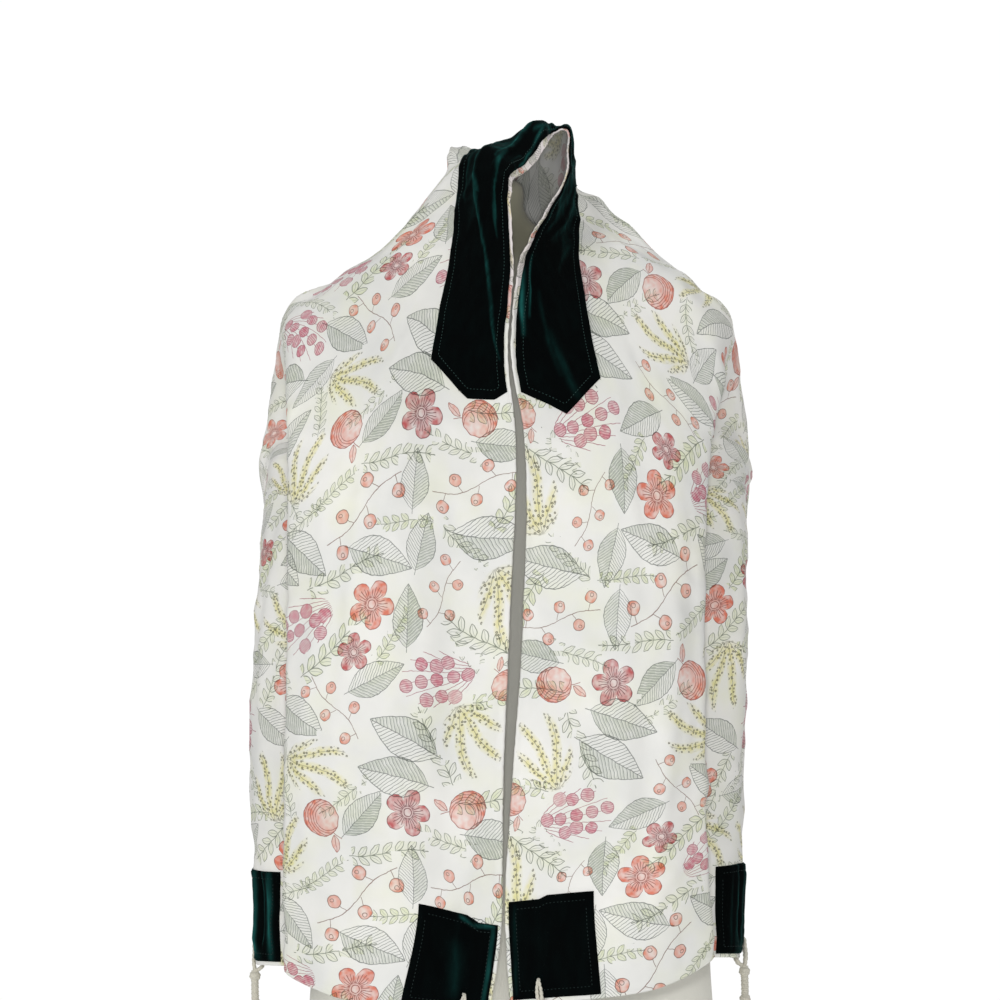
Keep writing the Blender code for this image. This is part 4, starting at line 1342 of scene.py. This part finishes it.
def add_fringe(side, place, material):
    """A knotted corner fringe: cords through the eyelet, a wound and knotted head, eight strands."""
    name = corner_name(side, place)
    u = side * np.array([HALF_LENGTH - HOLE_FROM_HEM, HALF_LENGTH - HOLE_FROM_HEM / 2, HALF_LENGTH])
    (hole, middle, hem), normals = cloth_frame(u, np.full(3, hole_across(place)))
    lift = GAP + VELVET_WALL + GAP + CORD_RADIUS
    axis_top = hem + normals[2] * lift
    knot = axis_top + DOWN * (FIRST_KNOT - 4 * MM)
    sideways = unit(np.cross(normals[1], DOWN))
    tubes = []
    for offset in (-1, 1):
        shift = sideways * offset * CORD_SPREAD
        front = [hole - normals[0] * MM + shift * 0.3, hole + normals[0] * lift + shift * 0.4 + DOWN * 2 * MM,
                 middle + normals[1] * (lift + 0.6 * MM) + shift * 1.2, axis_top + normals[2] * MM + shift,
                 knot + shift * 0.5]
        back = [hole + normals[0] * 0.5 * MM + shift * 0.4 + DOWN * MM,
                hole - normals[0] * 2.6 * MM + shift + DOWN * 4 * MM,
                middle - normals[1] * 3.0 * MM + shift * 1.6,
                hem - normals[2] * 1.4 * MM + shift * 1.3 + DOWN * 4 * MM, knot + shift * 0.5]
        for route in (front, back):
            thick = np.interp(np.arange(CORD_STEPS), [0, 12, 30], [0.9 * MM, 1.1 * MM, 1.6 * MM])
            tubes.append(cord_surface(smooth_path(route, CORD_STEPS), thick, depth=0.16, phase=offset))
    run = np.linspace(0, WOUND_LENGTH + 2 * KNOT_HALF, HEAD_STEPS)
    sway = 0.8 * MM * np.sin(run[:, None] * 38 + np.array([0.3, 1.9, 0.0]) + side) * np.array([1, 1, 0])
    axis_line = axis_top + DOWN * (FIRST_KNOT - KNOT_HALF) + DOWN * run[:, None] \
        + sway * ramp(run / (30 * MM))[:, None]
    tubes.append(cord_surface(axis_line, head_radius(run - KNOT_HALF), sides=20, lobes=1,
                              pitch=COIL_PITCH * 2, depth=0.05))
    end = axis_line[-1] - DOWN * 4 * MM
    share = np.linspace(0, 1, STRAND_STEPS)[:, None]
    taper = np.where(share[:, 0] > 0.985, 0.75, 1.0) * STRAND_RADIUS
    for index in range(STRANDS):
        angle = (index + 0.5) * 2 * math.pi / STRANDS
        out = np.array([math.cos(angle), math.sin(angle), 0])
        around = np.array([[math.sin(angle), -math.cos(angle), 0]])
        reach = STRAND_LENGTH * (1 - 0.05 * (index % 3))
        wave = 1 + 0.25 * np.sin(2.1 * index + 4.0 * share)
        drift = 1.2 * MM * np.sin(share * (7 + index) + index) * around
        spread = out * (1.6 * MM + STRAND_SPREAD * share ** 0.7 * wave)
        line = end + spread + DOWN * reach * share + drift * share
        tubes.append(cord_surface(line, taper, sides=8, phase=index))
    piece = add_piece(f"fringe_{name}", *closed_tubes(tubes), material, "ivory_wool")
    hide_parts(f"tassel_{name}")
    return piece


def add_eyelet(side, place, material):
    """The eyelet round the fringe's hole: a small puckered ring of pile."""
    angle = np.linspace(0, 2 * math.pi, EYELET_STEPS, endpoint=False)
    u = side * (HALF_LENGTH - HOLE_FROM_HEM) + EYELET_RADIUS * np.cos(angle)
    points, normals = cloth_frame(u, hole_across(place) + EYELET_RADIUS * np.sin(angle))
    turn = np.arange(EYELET_SIDES) * 2 * math.pi / EYELET_SIDES
    outward = unit(points - points.mean(axis=0))
    thick = EYELET_THICKNESS * (1 + 0.2 * np.cos(angle * 24))
    ring = (outward[:, None] * np.cos(turn)[None, :, None]
            + normals[:, None] * np.sin(turn)[None, :, None]) * thick[:, None, None]
    grid = points[:, None] + normals[:, None] * (GAP + VELVET_WALL) + ring
    faces = grid_faces(EYELET_STEPS + 1, EYELET_SIDES, wrap=True) % (EYELET_STEPS * EYELET_SIDES)
    return add_piece(f"eyelet_{corner_name(side, place)}", grid, faces.tolist(), material, "green_velvet")


# The dress form
def add_form(material):
    """The dress form: rounded rings between the table's, |x/a|^n + |y/b|^n = 1, closed at foot and neck."""
    table = in_metres(FORM_RINGS)
    heights = steps_between(table[:, 0].tolist(), FORM_STEP)
    read = through_rows(table[:, 0], table[:, 1:], heights)
    angle = np.arange(FORM_SIDES) * 2 * math.pi / FORM_SIDES
    shape_x, shape_y = (np.sign(part) * np.abs(part) ** (2 / FORM_SQUARE)
                        for part in (np.cos(angle), np.sin(angle)))
    x = read[:, :1] * shape_x + read[:, 2:3]
    y = read[:, 1:2] * shape_y + read[:, 3:4]
    rings = np.stack([x, y, np.broadcast_to(heights[:, None], x.shape)], axis=-1)
    caps = []
    for ring in (rings[0], rings[-1]):
        centre = ring.mean(axis=0)
        caps.append(np.stack([centre + (ring - centre) * share for share in FORM_CAP]))
    grid = np.concatenate([caps[0], rings, caps[1][::-1]])
    faces = grid_faces(len(grid), FORM_SIDES, wrap=True)[:, ::-1].tolist()
    faces.append(list(range(FORM_SIDES))[::-1])
    faces.append(list(range((len(grid) - 1) * FORM_SIDES, len(grid) * FORM_SIDES)))
    piece = add_piece("form_body", grid, faces, material, "form_linen")
    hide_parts("dress_form")
    return piece


# Studio
def add_to_scene(name, data):
    """An object with its data, in the scene."""
    made = bpy.data.objects.new(name, data)
    bpy.context.scene.collection.objects.link(made)
    return made


def add_studio():
    """A pale floor, a small light straight ahead with soft ones round it, a long lens at chest height."""
    scene = bpy.context.scene
    mesh = bpy.data.meshes.new("studio_floor")
    corners = [(x * FLOOR_REACH, y * FLOOR_REACH, 0) for x, y in ((-1, -1), (1, -1), (1, 1), (-1, 1))]
    mesh.from_pydata(corners, [], [(0, 1, 2, 3)])
    material, tree, shader = new_material("studio_paint")
    fine = noise(tree, object_place(tree), 30.0, 3.0)
    set_inputs(tree, shader, Base_Color=mix(tree, fine, (0.90, 0.90, 0.90), (0.93, 0.93, 0.93)),
               Roughness=0.9, Emission_Color=(1.0, 1.0, 1.0, 1.0), Emission_Strength=0.12)
    mesh.materials.append(material)
    add_to_scene("studio_floor", mesh)
    for name, place, aim, width, power in LIGHTS:
        light = add_to_scene(name, bpy.data.lights.new(name, "AREA"))
        light.data.size = width
        light.data.energy = power
        light.location = place
        light.rotation_euler = (Vector(aim) - Vector(place)).to_track_quat("-Z", "Y").to_euler()
    world = scene.world = bpy.data.worlds.new("studio")
    world.use_nodes = True
    tree = world.node_tree
    tree.nodes.clear()
    seen = Wire(tree, node(tree, "LightPath").outputs["Is Camera Ray"])
    strength = seen.math("MULTIPLY_ADD", 0.64, 0.38)
    light = node(tree, "Background", Color=(1.0, 1.0, 1.0, 1.0), Strength=strength)
    node(tree, "OutputWorld", Surface=light.outputs[0])
    camera = scene.camera = add_to_scene("camera", bpy.data.cameras.new("camera"))
    camera.data.sensor_width = SENSOR
    camera.data.lens = LENS
    camera.location = CAMERA_PLACE
    camera.rotation_euler = (math.radians(90), 0, 0)
    scene.view_settings.view_transform = "Standard"


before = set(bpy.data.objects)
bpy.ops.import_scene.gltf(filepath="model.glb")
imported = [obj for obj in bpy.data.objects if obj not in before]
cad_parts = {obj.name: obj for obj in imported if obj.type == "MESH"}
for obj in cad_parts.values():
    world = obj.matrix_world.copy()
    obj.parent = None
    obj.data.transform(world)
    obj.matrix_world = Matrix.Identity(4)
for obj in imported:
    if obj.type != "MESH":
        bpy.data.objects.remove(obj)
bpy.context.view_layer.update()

CLOTH = cloth_table()
weave = weave_group()
silk = silk_material(print_group(), weave)
velvet = velvet_material()
thread = thread_material("green_thread", (0.014, 0.056, 0.048), 0.1)
dark_thread = thread_material("dark_green_thread", (0.005, 0.020, 0.018), 0.05)
wool = thread_material("ivory_cord", (0.74, 0.71, 0.60), 0.4)

shawl = add_silk(silk)
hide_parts("silk_left_front", "silk_back", "silk_right_front")
band, band_stitches = add_band(velvet, thread)
# The band's ends are cut at a slant, so that its cut is less than a rectangle
for side in (-1, 1):
    for place in ("front", "side"):
        corner, stitches = add_corner(side, place, velvet, dark_thread)
        eyelet = add_eyelet(side, place, velvet)
        add_fringe(side, place, wool)
form = add_form(form_material(weave))

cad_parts["pole"].material_slots[0].material = steel_material("brushed_steel_pole", (1.0, 1.0, 12.0))
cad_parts["base"].material_slots[0].material = steel_material("brushed_steel_base", (1.0, 14.0, 14.0))
add_studio()
